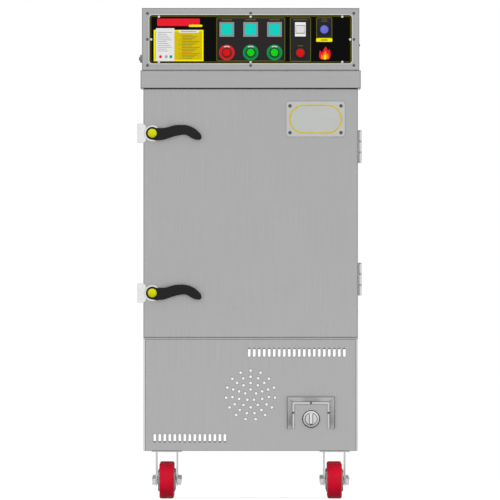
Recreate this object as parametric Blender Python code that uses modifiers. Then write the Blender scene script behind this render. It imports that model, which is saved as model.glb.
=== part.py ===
# Commercial gas steamer: a wheeled steel cabinet with a burner base, a steam chamber
# behind one hinged door, and a control housing on top. Metres, +Z up, front at -Y.
import math

import bmesh
import bpy
from mathutils import Vector

# General fits and sheet
CLEAR = 0.0003
OVERRUN = 0.006
BITE = 0.001
MERGE_REACH = 0.00005
PIVOT_MARK_SIZE = 0.05
SHEET = 0.002
ROUND_SIDES = 24
SMALL_SIDES = 12
HOLE_SIDES = 10
TUBE_SIDES = 8

# Cabinet levels, from the floor up
CABINET_WIDTH = 0.600
CABINET_DEPTH = 0.600
CASTER_HEIGHT = 0.134
BASE_HEIGHT = 0.3121
CABINET_HEIGHT = 0.7009
COVER_HEIGHT = 0.0506
HOUSING_HEIGHT = 0.1742
BASE_TOP = CASTER_HEIGHT + BASE_HEIGHT
CABINET_BOTTOM = BASE_TOP + CLEAR
CABINET_TOP = CABINET_BOTTOM + CABINET_HEIGHT
COVER_BOTTOM = CABINET_TOP + CLEAR
COVER_TOP = COVER_BOTTOM + COVER_HEIGHT
HOUSING_BOTTOM = COVER_TOP + CLEAR
HOUSING_TOP = HOUSING_BOTTOM + HOUSING_HEIGHT
HALF_WIDTH = CABINET_WIDTH / 2
FRONT = -CABINET_DEPTH / 2
BACK = CABINET_DEPTH / 2
CORNER_ROUND = 0.003

# Door
DOOR_THICKNESS = 0.0367
DOOR_BOTTOM_GAP = 0.0051
DOOR_TOP_GAP = 0.0011
GASKET_THICKNESS = 0.008
GASKET_WIDTH = 0.018
GASKET_INSET = 0.012
DOOR_BOTTOM = BASE_TOP + DOOR_BOTTOM_GAP
DOOR_TOP = COVER_BOTTOM - DOOR_TOP_GAP
DOOR_REAR = FRONT + DOOR_THICKNESS
GASKET_REAR = DOOR_REAR + CLEAR + GASKET_THICKNESS
CABINET_FRONT = GASKET_REAR + CLEAR

# Burner base
PANEL_SIDE_REVEAL = 0.005
BASE_FRONT_FRAME = 0.025
BASE_FRONT = FRONT + SHEET + CLEAR
AIR_HOLE_SIZE = 0.240
VENT_HOLE_RADIUS = 0.004
VENT_RING_RADII = (0.0160, 0.0340, 0.0514, 0.0686)
VENT_RING_COUNTS = (5, 10, 15, 15)
VENT_MIDDLE_SHARE = 0.5008
SLOT_LENGTH = 0.026
SLOT_WIDTH = 0.008
SLOT_PITCH = 0.014
SLOT_COUNT_HIGH = 20
SLOT_COUNT_LOW = 15
SLOT_HIGH_FROM_RIGHT = 0.033
SLOT_HIGH_DOWN = 0.0371
SLOT_LOW_FROM_LEFT = 0.027
SLOT_LOW_UP = 0.0365
PANEL_SIDE = HALF_WIDTH - PANEL_SIDE_REVEAL
SILL_TOP = DOOR_BOTTOM - CLEAR
KNOB_FROM_SIDE = 0.1309
KNOB_ACROSS = HALF_WIDTH - KNOB_FROM_SIDE
KNOB_UP = 0.0895

# Gas valve, knob and guard
KNOB_FLANGE_RADIUS = 0.026
KNOB_FLANGE_THICKNESS = 0.006
KNOB_RADIUS = 0.018
KNOB_LENGTH = 0.016
GRIP_WIDTH = 0.0106
GRIP_HEIGHT = 0.012
KNOB_STANDOFF = 0.0015
SHAFT_RADIUS = 0.004
SHAFT_CLEAR = 0.0006
SHAFT_REACH = 0.020
VALVE_NOSE_RADIUS = 0.012
VALVE_SIZE = 0.040
VALVE_GAP = 0.006
GUARD_WIDTH = 0.1337
GUARD_HEIGHT = 0.0898
GUARD_BAND = 0.0215
GUARD_BELOW_KNOB = 0.0277
GUARD_ACROSS_OFFSET = -0.00035
GUARD_FLANGE = 0.0078
GUARD_RISE = 0.014
GUARD_THICKNESS = 0.002

# Burner and gas pipes
BURNER_RING_RADIUS = 0.120
BURNER_TUBE_RADIUS = 0.012
FLAME_GAP = 0.0643
BURNER_BAR_HALF = 0.165
BURNER_BAR_WIDTH = 0.020
BURNER_BAR_THICKNESS = 0.006
PIPE_RADIUS = 0.008
PIPE_SIDE_REACH = 0.046
PIPE_BEND = 0.020
PIPE_STUB = 0.030
PIPE_NUT_RADIUS = 0.014
PIPE_NUT_LENGTH = 0.014
PIPE_HOLE_CLEAR = 0.003
FEED_Y = -0.060

# Chamber
WALL_FILL = 0.035
CHAMBER_SIDE = HALF_WIDTH - SHEET - CLEAR - WALL_FILL - CLEAR
TANK_SIDE_GAP = 0.0604
TANK_END_GAP = 0.06855
TANK_HEIGHT = 0.160
TANK_LIP = 0.015
RACK_END_GAP = 0.03855
RACK_TOP_GAP = 0.0817
RACK_UP = 0.060
LEDGE_WIDTH = 0.020
LEDGE_COUNT = 3
TRAY_HEIGHT = 0.042
TRAY_SIDE_CLEAR = 0.002
TRAY_FRONT_GAP = 0.045
TRAY_REAR_GAP = 0.0501
TRAY_HOLE_RADIUS = 0.010
TRAY_HOLE_COLUMNS = 4
TRAY_HOLE_ROWS = 3

# Top cover and control housing
COVER_SIDE_OVERHANG = 0.008
COVER_LIP = 0.020
HOUSING_SIDE_OVERHANG = 0.004
HOUSING_FRONT_FRAME = 0.016
HOUSING_FRONT = FRONT - HOUSING_SIDE_OVERHANG + SHEET
FASCIA_THICKNESS = 0.002
FASCIA_LAP = 0.007
BEZEL_FACE = 0.002
WINDOW_SIDE = 0.0210
WINDOW_LOW = 0.0195
WINDOW_HIGH = 0.0197
WINDOW_ROUND = 0.008
HOUSING_HALF = HALF_WIDTH + HOUSING_SIDE_OVERHANG
FASCIA_REAR = HOUSING_FRONT - CLEAR
FASCIA_FRONT = FASCIA_REAR - FASCIA_THICKNESS
BEZEL_FRONT = FASCIA_FRONT - CLEAR - BEZEL_FACE

# Controls on the fascia: places from the housing's centre line and its bottom
CONTROL_PITCH = 0.0667
DISPLAY_UP = 0.1142
DISPLAY_SIZE = 0.0415
DISPLAY_LIP = 0.003
DISPLAY_BODY = 0.037
DISPLAY_REACH = 0.050
SCREEN_WIDTH = 0.032
SCREEN_HEIGHT = 0.031
SCREEN_RECESS = 0.001
BUTTON_UP = 0.0495
LEGEND_RADIUS = 0.022
LEGEND_THICKNESS = 0.0015
COLLAR_RADIUS = 0.0135
COLLAR_HEIGHT = 0.006
BUTTON_BARREL_RADIUS = 0.0125
BUTTON_BARREL_LENGTH = 0.028
CAP_RADIUS = 0.01075
CAP_BORE_CLEAR = 0.0004
CAP_STAND = 0.005
CAP_LENGTH = 0.014
CAP_TRAVEL = 0.003
CAP_EDGE = 0.001
SWITCH_ACROSS = 0.1391
SWITCH_UP = 0.1144
SWITCH_WIDTH = 0.0303
SWITCH_HEIGHT = 0.0398
SWITCH_LIP = 0.003
SWITCH_RIM = 0.0072
SWITCH_SIDE_RIM = 0.001
SWITCH_WALL = 0.0012
SWITCH_REACH = 0.024
ROCKER_CLEAR = 0.0006
ROCKER_STAND = 0.003
ROCKER_DEPTH = 0.006
ROCKER_TILT = math.radians(7)
RED_LAMP_UP = 0.049
BLUE_LAMP_ACROSS = 0.206
BLUE_LAMP_UP = 0.1142
LAMP_RING_RADIUS = 0.0140
LAMP_RING_HEIGHT = 0.003
LAMP_LENS_RADIUS = 0.01175
LAMP_LENS_HEIGHT = 0.006
LAMP_BARREL_RADIUS = 0.0105
LAMP_BARREL_LENGTH = 0.030
GLAND_UP = 0.033
GLAND_RADIUS = 0.0113
GLAND_HEIGHT = 0.0056
GLAND_NUB_RADIUS = 0.005
GLAND_NUB_HEIGHT = 0.003
GLAND_SETBACK = 0.090
GLAND_THREAD_RADIUS = 0.007

# Nameplate on the door
PLATE_FROM_SIDE = 0.11835
PLATE_DOWN = 0.0841
PLATE_WIDTH = 0.1661
PLATE_HEIGHT = 0.101
PLATE_ROUND = 0.010
PLATE_THICKNESS = 0.0015

# Hinges
HINGE_LOW_UP = 0.1175
HINGE_HIGH_DOWN = 0.2070
HINGE_PLACES = (DOOR_BOTTOM + HINGE_LOW_UP, DOOR_TOP - HINGE_HIGH_DOWN)
KNUCKLE_RADIUS = 0.0053
KNUCKLE_BORE_CLEAR = 0.0004
PIN_RADIUS = 0.003
PIN_HEAD_HEIGHT = 0.002
HINGE_HEIGHT = 0.0895
WASHER_HEIGHT = 0.0025
HINGE_SIDE_CLEAR = 0.0006
LEAF_THICKNESS = 0.002
LEAF_WIDTH = 0.030
LEAF_BACKSET = 0.0005
AXIS_X = HALF_WIDTH + HINGE_SIDE_CLEAR + KNUCKLE_RADIUS
AXIS_Y = (DOOR_REAR + CABINET_FRONT) / 2

# Latches
LATCH_LOW_UP = 0.1244
LATCH_HIGH_DOWN = 0.1242
LATCH_PLACES = (DOOR_BOTTOM + LATCH_LOW_UP, DOOR_TOP - LATCH_HIGH_DOWN)
LATCH_INSET = 0.0249
LATCH_RING_RADIUS = 0.0227
LATCH_RING_HEIGHT = 0.012
WING_REACH = 0.0168
WING_OVERLAP = 0.0075
WING_HEIGHT = 0.0534
WING_THICKNESS = 0.003
WING_CHAMFER = 0.006
WING_RETURN = 0.0385
PIVOT_RADIUS = 0.005
PIVOT_LENGTH = 0.016
PIVOT_CLEAR = 0.0004
LEVER_LENGTH = 0.1376
LEVER_THICKNESS = 0.012
LEVER_HUB_RADIUS = 0.018
LEVER_HUB_HEIGHT = 0.019
LEVER_GAP = 0.0006
LEVER_EDGE = 0.003
LATCH_CAP_RADIUS = 0.0126
LATCH_CAP_HEIGHT = 0.007
# Outline of the domed cap, in shares of its radius and height
LATCH_CAP_SHARES = ((0, 1), (0.55, 0.85), (0.88, 0.5), (1, 0), (0, 0))
KEEPER_WIDTH = 0.012
KEEPER_DEPTH = 0.032
KEEPER_HEIGHT = 0.040
KEEPER_ROUND = 0.004
# Outline of the lever from inside its hub and back into it, in shares of its length: along, across
LEVER_OUTLINE_SHARES = (
    (0.020, 0.116), (0.120, 0.108), (0.262, 0.110), (0.461, 0.163), (0.648, 0.168),
    (0.758, 0.146), (0.868, 0.092), (0.967, 0.002), (1.000, -0.063), (0.990, -0.114),
    (0.941, -0.136), (0.847, -0.118), (0.770, -0.079), (0.716, -0.045), (0.648, -0.028),
    (0.539, -0.043), (0.429, -0.069), (0.262, -0.124), (0.165, -0.142), (0.060, -0.144),
    (-0.040, -0.114),
)
LEVER_SPAN_STEPS = 3

# Casters
CASTER_INSET = 0.065
CASTER_ACROSS = HALF_WIDTH - CASTER_INSET
CASTER_ALONG = BACK - CASTER_INSET
CASTER_PLATE = 0.084
CASTER_SHEET = 0.003
FORK_OUTER = 0.061
FORK_TOP_WIDTH = 0.056
FORK_END_WIDTH = 0.030
FORK_TIP_WIDTH = 0.015
FORK_BELOW_AXLE = 0.015
WHEEL_RADIUS = 0.050
TREAD_WIDTH = 0.041
TREAD_EDGE = 0.005
TREAD_EDGE_SHARE = 0.3
HUB_RADIUS = 0.030
HUB_BOSS_RADIUS = 0.015
HUB_PROUD = 0.004
HUB_DISH = 0.0015
AXLE_RADIUS = 0.006
AXLE_CLEAR = 0.0005
AXLE_NUT_RADIUS = 0.012
AXLE_NUT_REACH = 0.041

# Turns that face a shape made along +Z to the front, left or right
FACE_FRONT = (math.radians(90), 0, 0)
FACE_LEFT = (0, math.radians(-90), 0)
FACE_RIGHT = (0, math.radians(90), 0)


def clear_scene():
    for old in list(bpy.data.objects):
        bpy.data.objects.remove(old, do_unlink=True)


def new_collection(name):
    made = bpy.data.collections.new(name)
    bpy.context.scene.collection.children.link(made)
    return made


def make_material(name, colour, roughness, metallic):
    made = bpy.data.materials.new(name)
    made.use_nodes = True
    shader = made.node_tree.nodes["Principled BSDF"]
    shader.inputs["Base Color"].default_value = (*colour, 1)
    shader.inputs["Roughness"].default_value = roughness
    shader.inputs["Metallic"].default_value = metallic
    return made


def make_object(name, mesh, place, turn, material):
    made = bpy.data.objects.new(name, mesh)
    made.location = place
    made.rotation_euler = turn
    PARTS.objects.link(made)
    if material:
        mesh.materials.append(material)
    return made


def shade(obj):
    obj.data.shade_smooth()
    obj.data.set_sharp_from_angle(angle=math.radians(35))
    return obj


def box(name, low, high, material=None, edge=0):
    """A box between two corners, its edges rounded by the width edge."""
    low = Vector(low)
    high = Vector(high)
    frame = bmesh.new()
    bmesh.ops.create_cube(frame, size=1)
    bmesh.ops.scale(frame, vec=high - low, verts=frame.verts)
    mesh = bpy.data.meshes.new(name)
    frame.to_mesh(mesh)
    frame.free()
    made = make_object(name, mesh, (low + high) / 2, (0, 0, 0), material)
    if edge:
        soften(made, edge)
    return made


def soften(obj, edge, segments=2):
    bevel = obj.modifiers.new("soften", "BEVEL")
    bevel.width = edge
    bevel.segments = segments
    bevel.limit_method = "ANGLE"
    return obj


def cylinder(name, place, turn, radius, low, high, material=None, sides=ROUND_SIDES, tip=None):
    """A round bar whose own Z axis runs from low to high about its place."""
    frame = bmesh.new()
    end = radius if tip is None else tip
    bmesh.ops.create_cone(
        frame, cap_ends=True, segments=sides, radius1=radius, radius2=end, depth=high - low
    )
    bmesh.ops.translate(frame, vec=(0, 0, (low + high) / 2), verts=frame.verts)
    mesh = bpy.data.meshes.new(name)
    frame.to_mesh(mesh)
    frame.free()
    return shade(make_object(name, mesh, place, turn, material))


def turned(name, profile, place, turn, material=None, steps=ROUND_SIDES, closed=False):
    """A profile of (radius, height) points, outer side from top to bottom, spun about Z."""
    frame = bmesh.new()
    points = [frame.verts.new((radius, 0, height)) for radius, height in profile]
    pairs = list(zip(points, points[1:]))
    if closed:
        pairs.append((points[-1], points[0]))
    for first, second in pairs:
        frame.edges.new((first, second))
    mesh = bpy.data.meshes.new(name)
    frame.to_mesh(mesh)
    frame.free()
    made = make_object(name, mesh, place, turn, material)
    screw = made.modifiers.new("spin", "SCREW")
    screw.steps = steps
    screw.render_steps = steps
    screw.use_merge_vertices = True
    screw.merge_threshold = MERGE_REACH
    screw.use_smooth_shade = True
    return made


def circle_points(centre, radius, sides, start=0):
    x, y = centre
    angles = [start + math.tau * step / sides for step in range(sides)]
    return [(x + radius * math.cos(a), y + radius * math.sin(a)) for a in angles]


def flowing(points, steps):
    """A smooth curve through the points, each span in that many steps; it ends at the last point."""
    ends = [points[0], *points, points[-1]]
    curve = []
    for before, start, end, after in zip(ends, ends[1:], ends[2:], ends[3:]):
        for step in range(steps):
            share = step / steps
            weights = (
                -0.5 * share + share**2 - 0.5 * share**3,
                1 - 2.5 * share**2 + 1.5 * share**3,
                0.5 * share + 2 * share**2 - 1.5 * share**3,
                -0.5 * share**2 + 0.5 * share**3,
            )
            spans = zip(before, start, end, after)
            curve.append(tuple(sum(w * p for w, p in zip(weights, places)) for places in spans))
    return curve + [points[-1]]


def rounded_rectangle(low, high, radius, corner_steps=4):
    """Points of a rectangle in its plane, with round corners, counter-clockwise."""
    centres = (
        (high[0] - radius, high[1] - radius),
        (low[0] + radius, high[1] - radius),
        (low[0] + radius, low[1] + radius),
        (high[0] - radius, low[1] + radius),
    )
    points = []
    for quarter, centre in enumerate(centres):
        for step in range(corner_steps + 1):
            angle = math.pi / 2 * (quarter + step / corner_steps)
            points.append(
                (centre[0] + radius * math.cos(angle), centre[1] + radius * math.sin(angle))
            )
    return points


def rectangle(low, high):
    return [(low[0], low[1]), (high[0], low[1]), (high[0], high[1]), (low[0], high[1])]


def mesh_from_curve(obj, material):
    """Turns a curve object into a closed mesh object of the same name and place."""
    graph = bpy.context.evaluated_depsgraph_get()
    mesh = bpy.data.meshes.new_from_object(obj.evaluated_get(graph))
    frame = bmesh.new()
    frame.from_mesh(mesh)
    bmesh.ops.remove_doubles(frame, verts=frame.verts, dist=MERGE_REACH)
    bmesh.ops.recalc_face_normals(frame, faces=frame.faces)
    frame.to_mesh(mesh)
    frame.free()
    name = obj.name
    place = obj.matrix_world.copy()
    bpy.data.objects.remove(obj, do_unlink=True)
    made = make_object(name, mesh, (0, 0, 0), (0, 0, 0), None)
    made.name = name
    made.matrix_world = place
    mesh.materials.clear()
    if material:
        mesh.materials.append(material)
    return made


def plate(name, outlines, thickness, place, turn, material=None):
    """A flat sheet from closed outlines, holes inside the first; it is centred on its place."""
    curve = bpy.data.curves.new(name, "CURVE")
    curve.dimensions = "2D"
    curve.fill_mode = "BOTH"
    curve.extrude = thickness / 2
    for outline in outlines:
        spline = curve.splines.new("POLY")
        spline.points.add(len(outline) - 1)
        spline.use_cyclic_u = True
        for point, (x, y) in zip(spline.points, outline):
            point.co = (x, y, 0, 1)
    made = bpy.data.objects.new(name, curve)
    made.location = place
    made.rotation_euler = turn
    PARTS.objects.link(made)
    bpy.context.view_layer.update()
    return mesh_from_curve(made, material)


def front_plate(name, outlines, front, thickness, material=None):
    """A plate in the XZ plane, outlines in world (x, z), its front face at y = front."""
    place = (0, front + thickness / 2, 0)
    return plate(name, outlines, thickness, place, FACE_FRONT, material)


def tube(name, points, radius, material=None):
    """A round pipe along points, with filled ends."""
    curve = bpy.data.curves.new(name, "CURVE")
    curve.dimensions = "3D"
    curve.bevel_depth = radius
    curve.bevel_resolution = 2
    curve.use_fill_caps = True
    spline = curve.splines.new("POLY")
    spline.points.add(len(points) - 1)
    for point, place in zip(spline.points, points):
        point.co = (*place, 1)
    made = bpy.data.objects.new(name, curve)
    PARTS.objects.link(made)
    bpy.context.view_layer.update()
    return shade(mesh_from_curve(made, material))


def rounded_route(corners, bend, steps=4):
    """A route through corners, each inner corner replaced by an arc of the bend's reach."""
    route = [Vector(corners[0])]
    for before, corner, after in zip(corners, corners[1:], corners[2:]):
        corner = Vector(corner)
        start = corner + (Vector(before) - corner).normalized() * bend
        end = corner + (Vector(after) - corner).normalized() * bend
        for step in range(steps + 1):
            share = step / steps
            first = start.lerp(corner, share)
            second = corner.lerp(end, share)
            route.append(first.lerp(second, share))
    route.append(Vector(corners[-1]))
    return route


def boolean(target, tool, operation):
    PARTS.objects.unlink(tool)
    CUTTERS.objects.link(tool)
    tool.hide_render = True
    tool.display_type = "WIRE"
    tool.name = "shape_of_" + target.name
    modifier = target.modifiers.new(operation.lower(), "BOOLEAN")
    modifier.operation = operation
    modifier.object = tool
    return target


def cut(target, *tools):
    for tool in tools:
        boolean(target, tool, "DIFFERENCE")
    return target


def join(target, *tools):
    for tool in tools:
        boolean(target, tool, "UNION")
    return target


def pivot(name, place):
    made = bpy.data.objects.new(name, None)
    made.location = place
    made.empty_display_size = PIVOT_MARK_SIZE
    PARTS.objects.link(made)
    bpy.context.view_layer.update()
    return made


def carry(parent, *children):
    """Parents the children to the moving body's pivot, leaving them where they are."""
    bpy.context.view_layer.update()
    for child in children:
        child.parent = parent
        child.matrix_parent_inverse = parent.matrix_world.inverted()


def make_materials():
    return {
        "steel": make_material("brushed_steel", (0.42, 0.42, 0.42), 0.34, 0.9),
        "bright": make_material("bright_steel", (0.62, 0.62, 0.62), 0.22, 0.95),
        "black": make_material("black_panel", (0.01, 0.01, 0.01), 0.4, 0),
        "dark": make_material("dark_plastic", (0.03, 0.03, 0.03), 0.45, 0),
        "white": make_material("white_plastic", (0.8, 0.8, 0.8), 0.35, 0),
        "grey": make_material("grey_plastic", (0.26, 0.26, 0.26), 0.4, 0),
        "green": make_material("green_plastic", (0, 0.55, 0.05), 0.35, 0),
        "red": make_material("red_plastic", (0.78, 0.01, 0.01), 0.35, 0),
        "blue": make_material("blue_lens", (0.19, 0.19, 0.95), 0.2, 0),
        "yellow": make_material("yellow_plastic", (0.75, 0.75, 0), 0.35, 0),
        "rubber": make_material("rubber", (0.02, 0.02, 0.02), 0.8, 0),
        "tread": make_material("red_tread", (0.58, 0.01, 0.03), 0.5, 0),
        "fibre": make_material("fibre", (0.7, 0.66, 0.5), 0.95, 0),
        "brass": make_material("brass", (0.65, 0.45, 0.15), 0.35, 0.9),
        "iron": make_material("cast_iron", (0.05, 0.05, 0.05), 0.7, 0.6),
    }


def make_base(mat):
    """The burner base: an open-topped shell and the vented panel over its front."""
    inner = HALF_WIDTH - SHEET
    shell = box(
        "base_shell",
        (-HALF_WIDTH, BASE_FRONT, CASTER_HEIGHT),
        (HALF_WIDTH, BACK, BASE_TOP),
        mat["steel"],
    )
    cut(
        shell,
        box(
            "room",
            (-inner, BASE_FRONT + SHEET, CASTER_HEIGHT + SHEET),
            (inner, BACK - SHEET, BASE_TOP + OVERRUN),
        ),
        box(
            "front_opening",
            (BASE_FRONT_FRAME - HALF_WIDTH, BASE_FRONT - OVERRUN, CASTER_HEIGHT + BASE_FRONT_FRAME),
            (HALF_WIDTH - BASE_FRONT_FRAME, BASE_FRONT + SHEET + OVERRUN, BASE_TOP - BASE_FRONT_FRAME),
        ),
        box(
            "air_hole",
            (-AIR_HOLE_SIZE / 2, -AIR_HOLE_SIZE / 2, CASTER_HEIGHT - OVERRUN),
            (AIR_HOLE_SIZE / 2, AIR_HOLE_SIZE / 2, CASTER_HEIGHT + SHEET + OVERRUN),
        ),
        cylinder(
            "pipe_hole",
            (PIPE_X, BACK, KNOB_Z),
            FACE_FRONT,
            PIPE_RADIUS + PIPE_HOLE_CLEAR,
            -OVERRUN,
            SHEET + OVERRUN,
            sides=ROUND_SIDES,
        ),
    )
    sill = box(
        "sill",
        (-HALF_WIDTH, BASE_FRONT, BASE_TOP - SHEET),
        (HALF_WIDTH, CABINET_FRONT - CLEAR, BASE_TOP),
    )
    upstand = box(
        "upstand",
        (-HALF_WIDTH, BASE_FRONT, BASE_TOP - BITE),
        (HALF_WIDTH, BASE_FRONT + SHEET, SILL_TOP),
    )
    join(shell, sill, upstand)
    outline = rectangle((-PANEL_SIDE, CASTER_HEIGHT), (PANEL_SIDE, BASE_TOP))
    shaft_hole = circle_points((KNOB_ACROSS, KNOB_Z), VALVE_NOSE_RADIUS + CLEAR, ROUND_SIDES)
    front_plate(
        "base_front_panel", [outline, shaft_hole] + vent_outlines(), FRONT, SHEET, mat["steel"]
    )


def vent_outlines():
    """Rings of round holes in the middle, and two rows of short upright slots."""
    outlines = []
    middle = CASTER_HEIGHT + BASE_HEIGHT * VENT_MIDDLE_SHARE
    for ring_radius, count in zip(VENT_RING_RADII, VENT_RING_COUNTS):
        for x, z in circle_points((0, middle), ring_radius, count, math.pi / 2):
            outlines.append(circle_points((x, z), VENT_HOLE_RADIUS, HOLE_SIDES))
    rows = (
        (PANEL_SIDE - SLOT_HIGH_FROM_RIGHT, BASE_TOP - SLOT_HIGH_DOWN, SLOT_COUNT_HIGH, -SLOT_PITCH),
        (SLOT_LOW_FROM_LEFT - PANEL_SIDE, CASTER_HEIGHT + SLOT_LOW_UP, SLOT_COUNT_LOW, SLOT_PITCH),
    )
    for start, up, count, pitch in rows:
        for step in range(count):
            x = start + step * pitch
            low = (x - SLOT_WIDTH / 2, up - SLOT_LENGTH / 2)
            high = (x + SLOT_WIDTH / 2, up + SLOT_LENGTH / 2)
            outlines.append(rounded_rectangle(low, high, SLOT_WIDTH / 2 - CLEAR, 1))
    return outlines


KNOB_Z = CASTER_HEIGHT + KNOB_UP
PIPE_X = KNOB_ACROSS + PIPE_SIDE_REACH
VALVE_FRONT = FRONT + SHEET + VALVE_GAP
VALVE_REAR = VALVE_FRONT + VALVE_SIZE


def make_gas_train(mat):
    """Valve behind the panel, its knob and guard in front, burner ring and supply pipe."""
    make_guard(mat)
    make_knob(mat)
    make_valve(mat)
    make_burner(mat)
    rear = BACK + PIPE_STUB
    corners = [
        (KNOB_ACROSS + VALVE_SIZE / 2 + CLEAR, (VALVE_FRONT + VALVE_REAR) / 2, KNOB_Z),
        (PIPE_X, (VALVE_FRONT + VALVE_REAR) / 2, KNOB_Z),
        (PIPE_X, rear, KNOB_Z),
    ]
    pipe = tube("gas_supply_pipe", rounded_route(corners, PIPE_BEND), PIPE_RADIUS, mat["brass"])
    join(
        pipe,
        cylinder(
            "pipe_nut",
            (PIPE_X, rear - BITE, KNOB_Z),
            FACE_FRONT,
            PIPE_NUT_RADIUS,
            0,
            PIPE_NUT_LENGTH,
            mat["brass"],
            sides=6,
        ),
    )


def make_guard(mat):
    """A hood round the knob: a flange riveted to the panel and a wall splayed out from it."""
    low = KNOB_Z - GUARD_BELOW_KNOB
    high = low + GUARD_HEIGHT
    middle = KNOB_ACROSS + GUARD_ACROSS_OFFSET
    seat = FRONT - CLEAR
    bands = ((0, GUARD_RISE), (GUARD_BAND - GUARD_FLANGE, 0), (GUARD_BAND, 0))
    sheet = bmesh.new()
    bmesh.ops.create_grid(sheet, x_segments=3, y_segments=2, size=1)
    for vertex in sheet.verts:
        station = round((vertex.co.x + 1) * 3 / 2)
        inset, rise = bands[round(vertex.co.y + 1)]
        reach = GUARD_WIDTH / 2 - inset
        x = middle - reach if station < 2 else middle + reach
        z = high - inset if station in (1, 2) else low
        vertex.co = (x, seat - rise, z)
    mesh = bpy.data.meshes.new("knob_guard")
    sheet.to_mesh(mesh)
    sheet.free()
    guard = make_object("knob_guard", mesh, (0, 0, 0), (0, 0, 0), mat["bright"])
    shell = guard.modifiers.new("thickness", "SOLIDIFY")
    shell.thickness = GUARD_THICKNESS
    shell.use_even_offset = True
    return guard


def make_knob(mat):
    place = (KNOB_ACROSS, FRONT - KNOB_STANDOFF, KNOB_Z)
    face = KNOB_FLANGE_THICKNESS + KNOB_LENGTH
    shaft_end = KNOB_STANDOFF + SHEET + VALVE_GAP + SHAFT_REACH
    profile = [
        (0, face),
        (KNOB_RADIUS - CAP_EDGE, face),
        (KNOB_RADIUS, face - CAP_EDGE),
        (KNOB_RADIUS, KNOB_FLANGE_THICKNESS),
        (KNOB_FLANGE_RADIUS - CAP_EDGE, KNOB_FLANGE_THICKNESS),
        (KNOB_FLANGE_RADIUS, KNOB_FLANGE_THICKNESS - CAP_EDGE),
        (KNOB_FLANGE_RADIUS, 0),
        (SHAFT_RADIUS, 0),
        (SHAFT_RADIUS, -shaft_end),
        (0, -shaft_end),
    ]
    knob = turned("gas_knob", profile, place, FACE_FRONT, mat["bright"])
    front = place[1] - face
    join(
        knob,
        box(
            "grip",
            (KNOB_ACROSS - GRIP_WIDTH / 2, front - GRIP_HEIGHT, KNOB_Z - KNOB_RADIUS + CAP_EDGE),
            (KNOB_ACROSS + GRIP_WIDTH / 2, front + BITE, KNOB_Z + KNOB_RADIUS - CAP_EDGE),
            mat["bright"],
            CAP_EDGE,
        ),
    )
    return knob


def make_valve(mat):
    """A body of one block, with a nose through the panel that the knob's shaft turns in."""
    bore = SHAFT_RADIUS + SHAFT_CLEAR
    valve = box(
        "gas_valve",
        (KNOB_ACROSS - VALVE_SIZE / 2, VALVE_FRONT, KNOB_Z - VALVE_SIZE / 2),
        (KNOB_ACROSS + VALVE_SIZE / 2, VALVE_REAR, KNOB_Z + VALVE_SIZE / 2),
        mat["brass"],
        CORNER_ROUND,
    )
    place = (KNOB_ACROSS, VALVE_FRONT, KNOB_Z)
    nose = cylinder("nose", place, FACE_FRONT, VALVE_NOSE_RADIUS, -BITE, VALVE_GAP + SHEET)
    join(valve, nose)
    hole = cylinder(
        "shaft_hole",
        place,
        FACE_FRONT,
        bore,
        -SHAFT_REACH - SHAFT_CLEAR,
        VALVE_GAP + SHEET + OVERRUN,
        sides=SMALL_SIDES,
    )
    cut(valve, hole)


def make_burner(mat):
    """A burner ring on a bar with two feet, fed by a pipe from the valve's rear."""
    profile = circle_points((BURNER_RING_RADIUS, 0), BURNER_TUBE_RADIUS, TUBE_SIDES)
    ring = turned(
        "burner", profile[::-1], (0, 0, BURNER_Z), (0, 0, 0), mat["iron"], closed=True
    )
    low = CASTER_HEIGHT + SHEET + CLEAR
    bar_top = BURNER_Z - BURNER_TUBE_RADIUS / 2
    half = BURNER_BAR_WIDTH / 2
    bar = box(
        "bar", (-BURNER_BAR_HALF, -half, bar_top - BURNER_BAR_THICKNESS), (BURNER_BAR_HALF, half, bar_top)
    )
    feet = []
    for side in (-1, 1):
        outer = side * BURNER_BAR_HALF
        inner = outer - side * BURNER_BAR_THICKNESS
        reach = sorted((outer, inner))
        feet.append(
            box("foot", (reach[0], -half - BITE, low), (reach[1], half + BITE, bar_top + BITE))
        )
    join(ring, bar, *feet)
    corners = [
        (KNOB_ACROSS, VALVE_REAR + CLEAR, KNOB_Z),
        (KNOB_ACROSS, FEED_Y, KNOB_Z),
        (KNOB_ACROSS, FEED_Y, BURNER_Z),
        (BURNER_RING_RADIUS, FEED_Y / 2, BURNER_Z),
    ]
    feed = tube("feed", rounded_route(corners, PIPE_BEND / 2), PIPE_RADIUS)
    join(ring, feed)



CHAMBER_BOTTOM = CABINET_BOTTOM + SHEET + CLEAR + WALL_FILL + CLEAR
CHAMBER_TOP = CABINET_TOP - SHEET - CLEAR - WALL_FILL - CLEAR
CHAMBER_REAR = BACK - SHEET - CLEAR - WALL_FILL - CLEAR
CHAMBER_FLOOR = CHAMBER_BOTTOM + SHEET
CHAMBER_MIDDLE = (CABINET_FRONT + CHAMBER_REAR) / 2
TANK_HALF_WIDTH = CHAMBER_SIDE - SHEET - TANK_SIDE_GAP
TANK_HALF_DEPTH = CHAMBER_REAR - CHAMBER_MIDDLE - TANK_END_GAP
TANK_TOP = CHAMBER_FLOOR + CLEAR + SHEET
TANK_BOTTOM = TANK_TOP - TANK_HEIGHT
BURNER_Z = TANK_BOTTOM - FLAME_GAP


def tank_hole(name, low, high):
    """A cutter for the opening that the water tank hangs through."""
    side = TANK_HALF_WIDTH + CLEAR
    depth = TANK_HALF_DEPTH + CLEAR
    return box(
        name,
        (-side, CHAMBER_MIDDLE - depth, low - OVERRUN),
        (side, CHAMBER_MIDDLE + depth, high + OVERRUN),
    )


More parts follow.
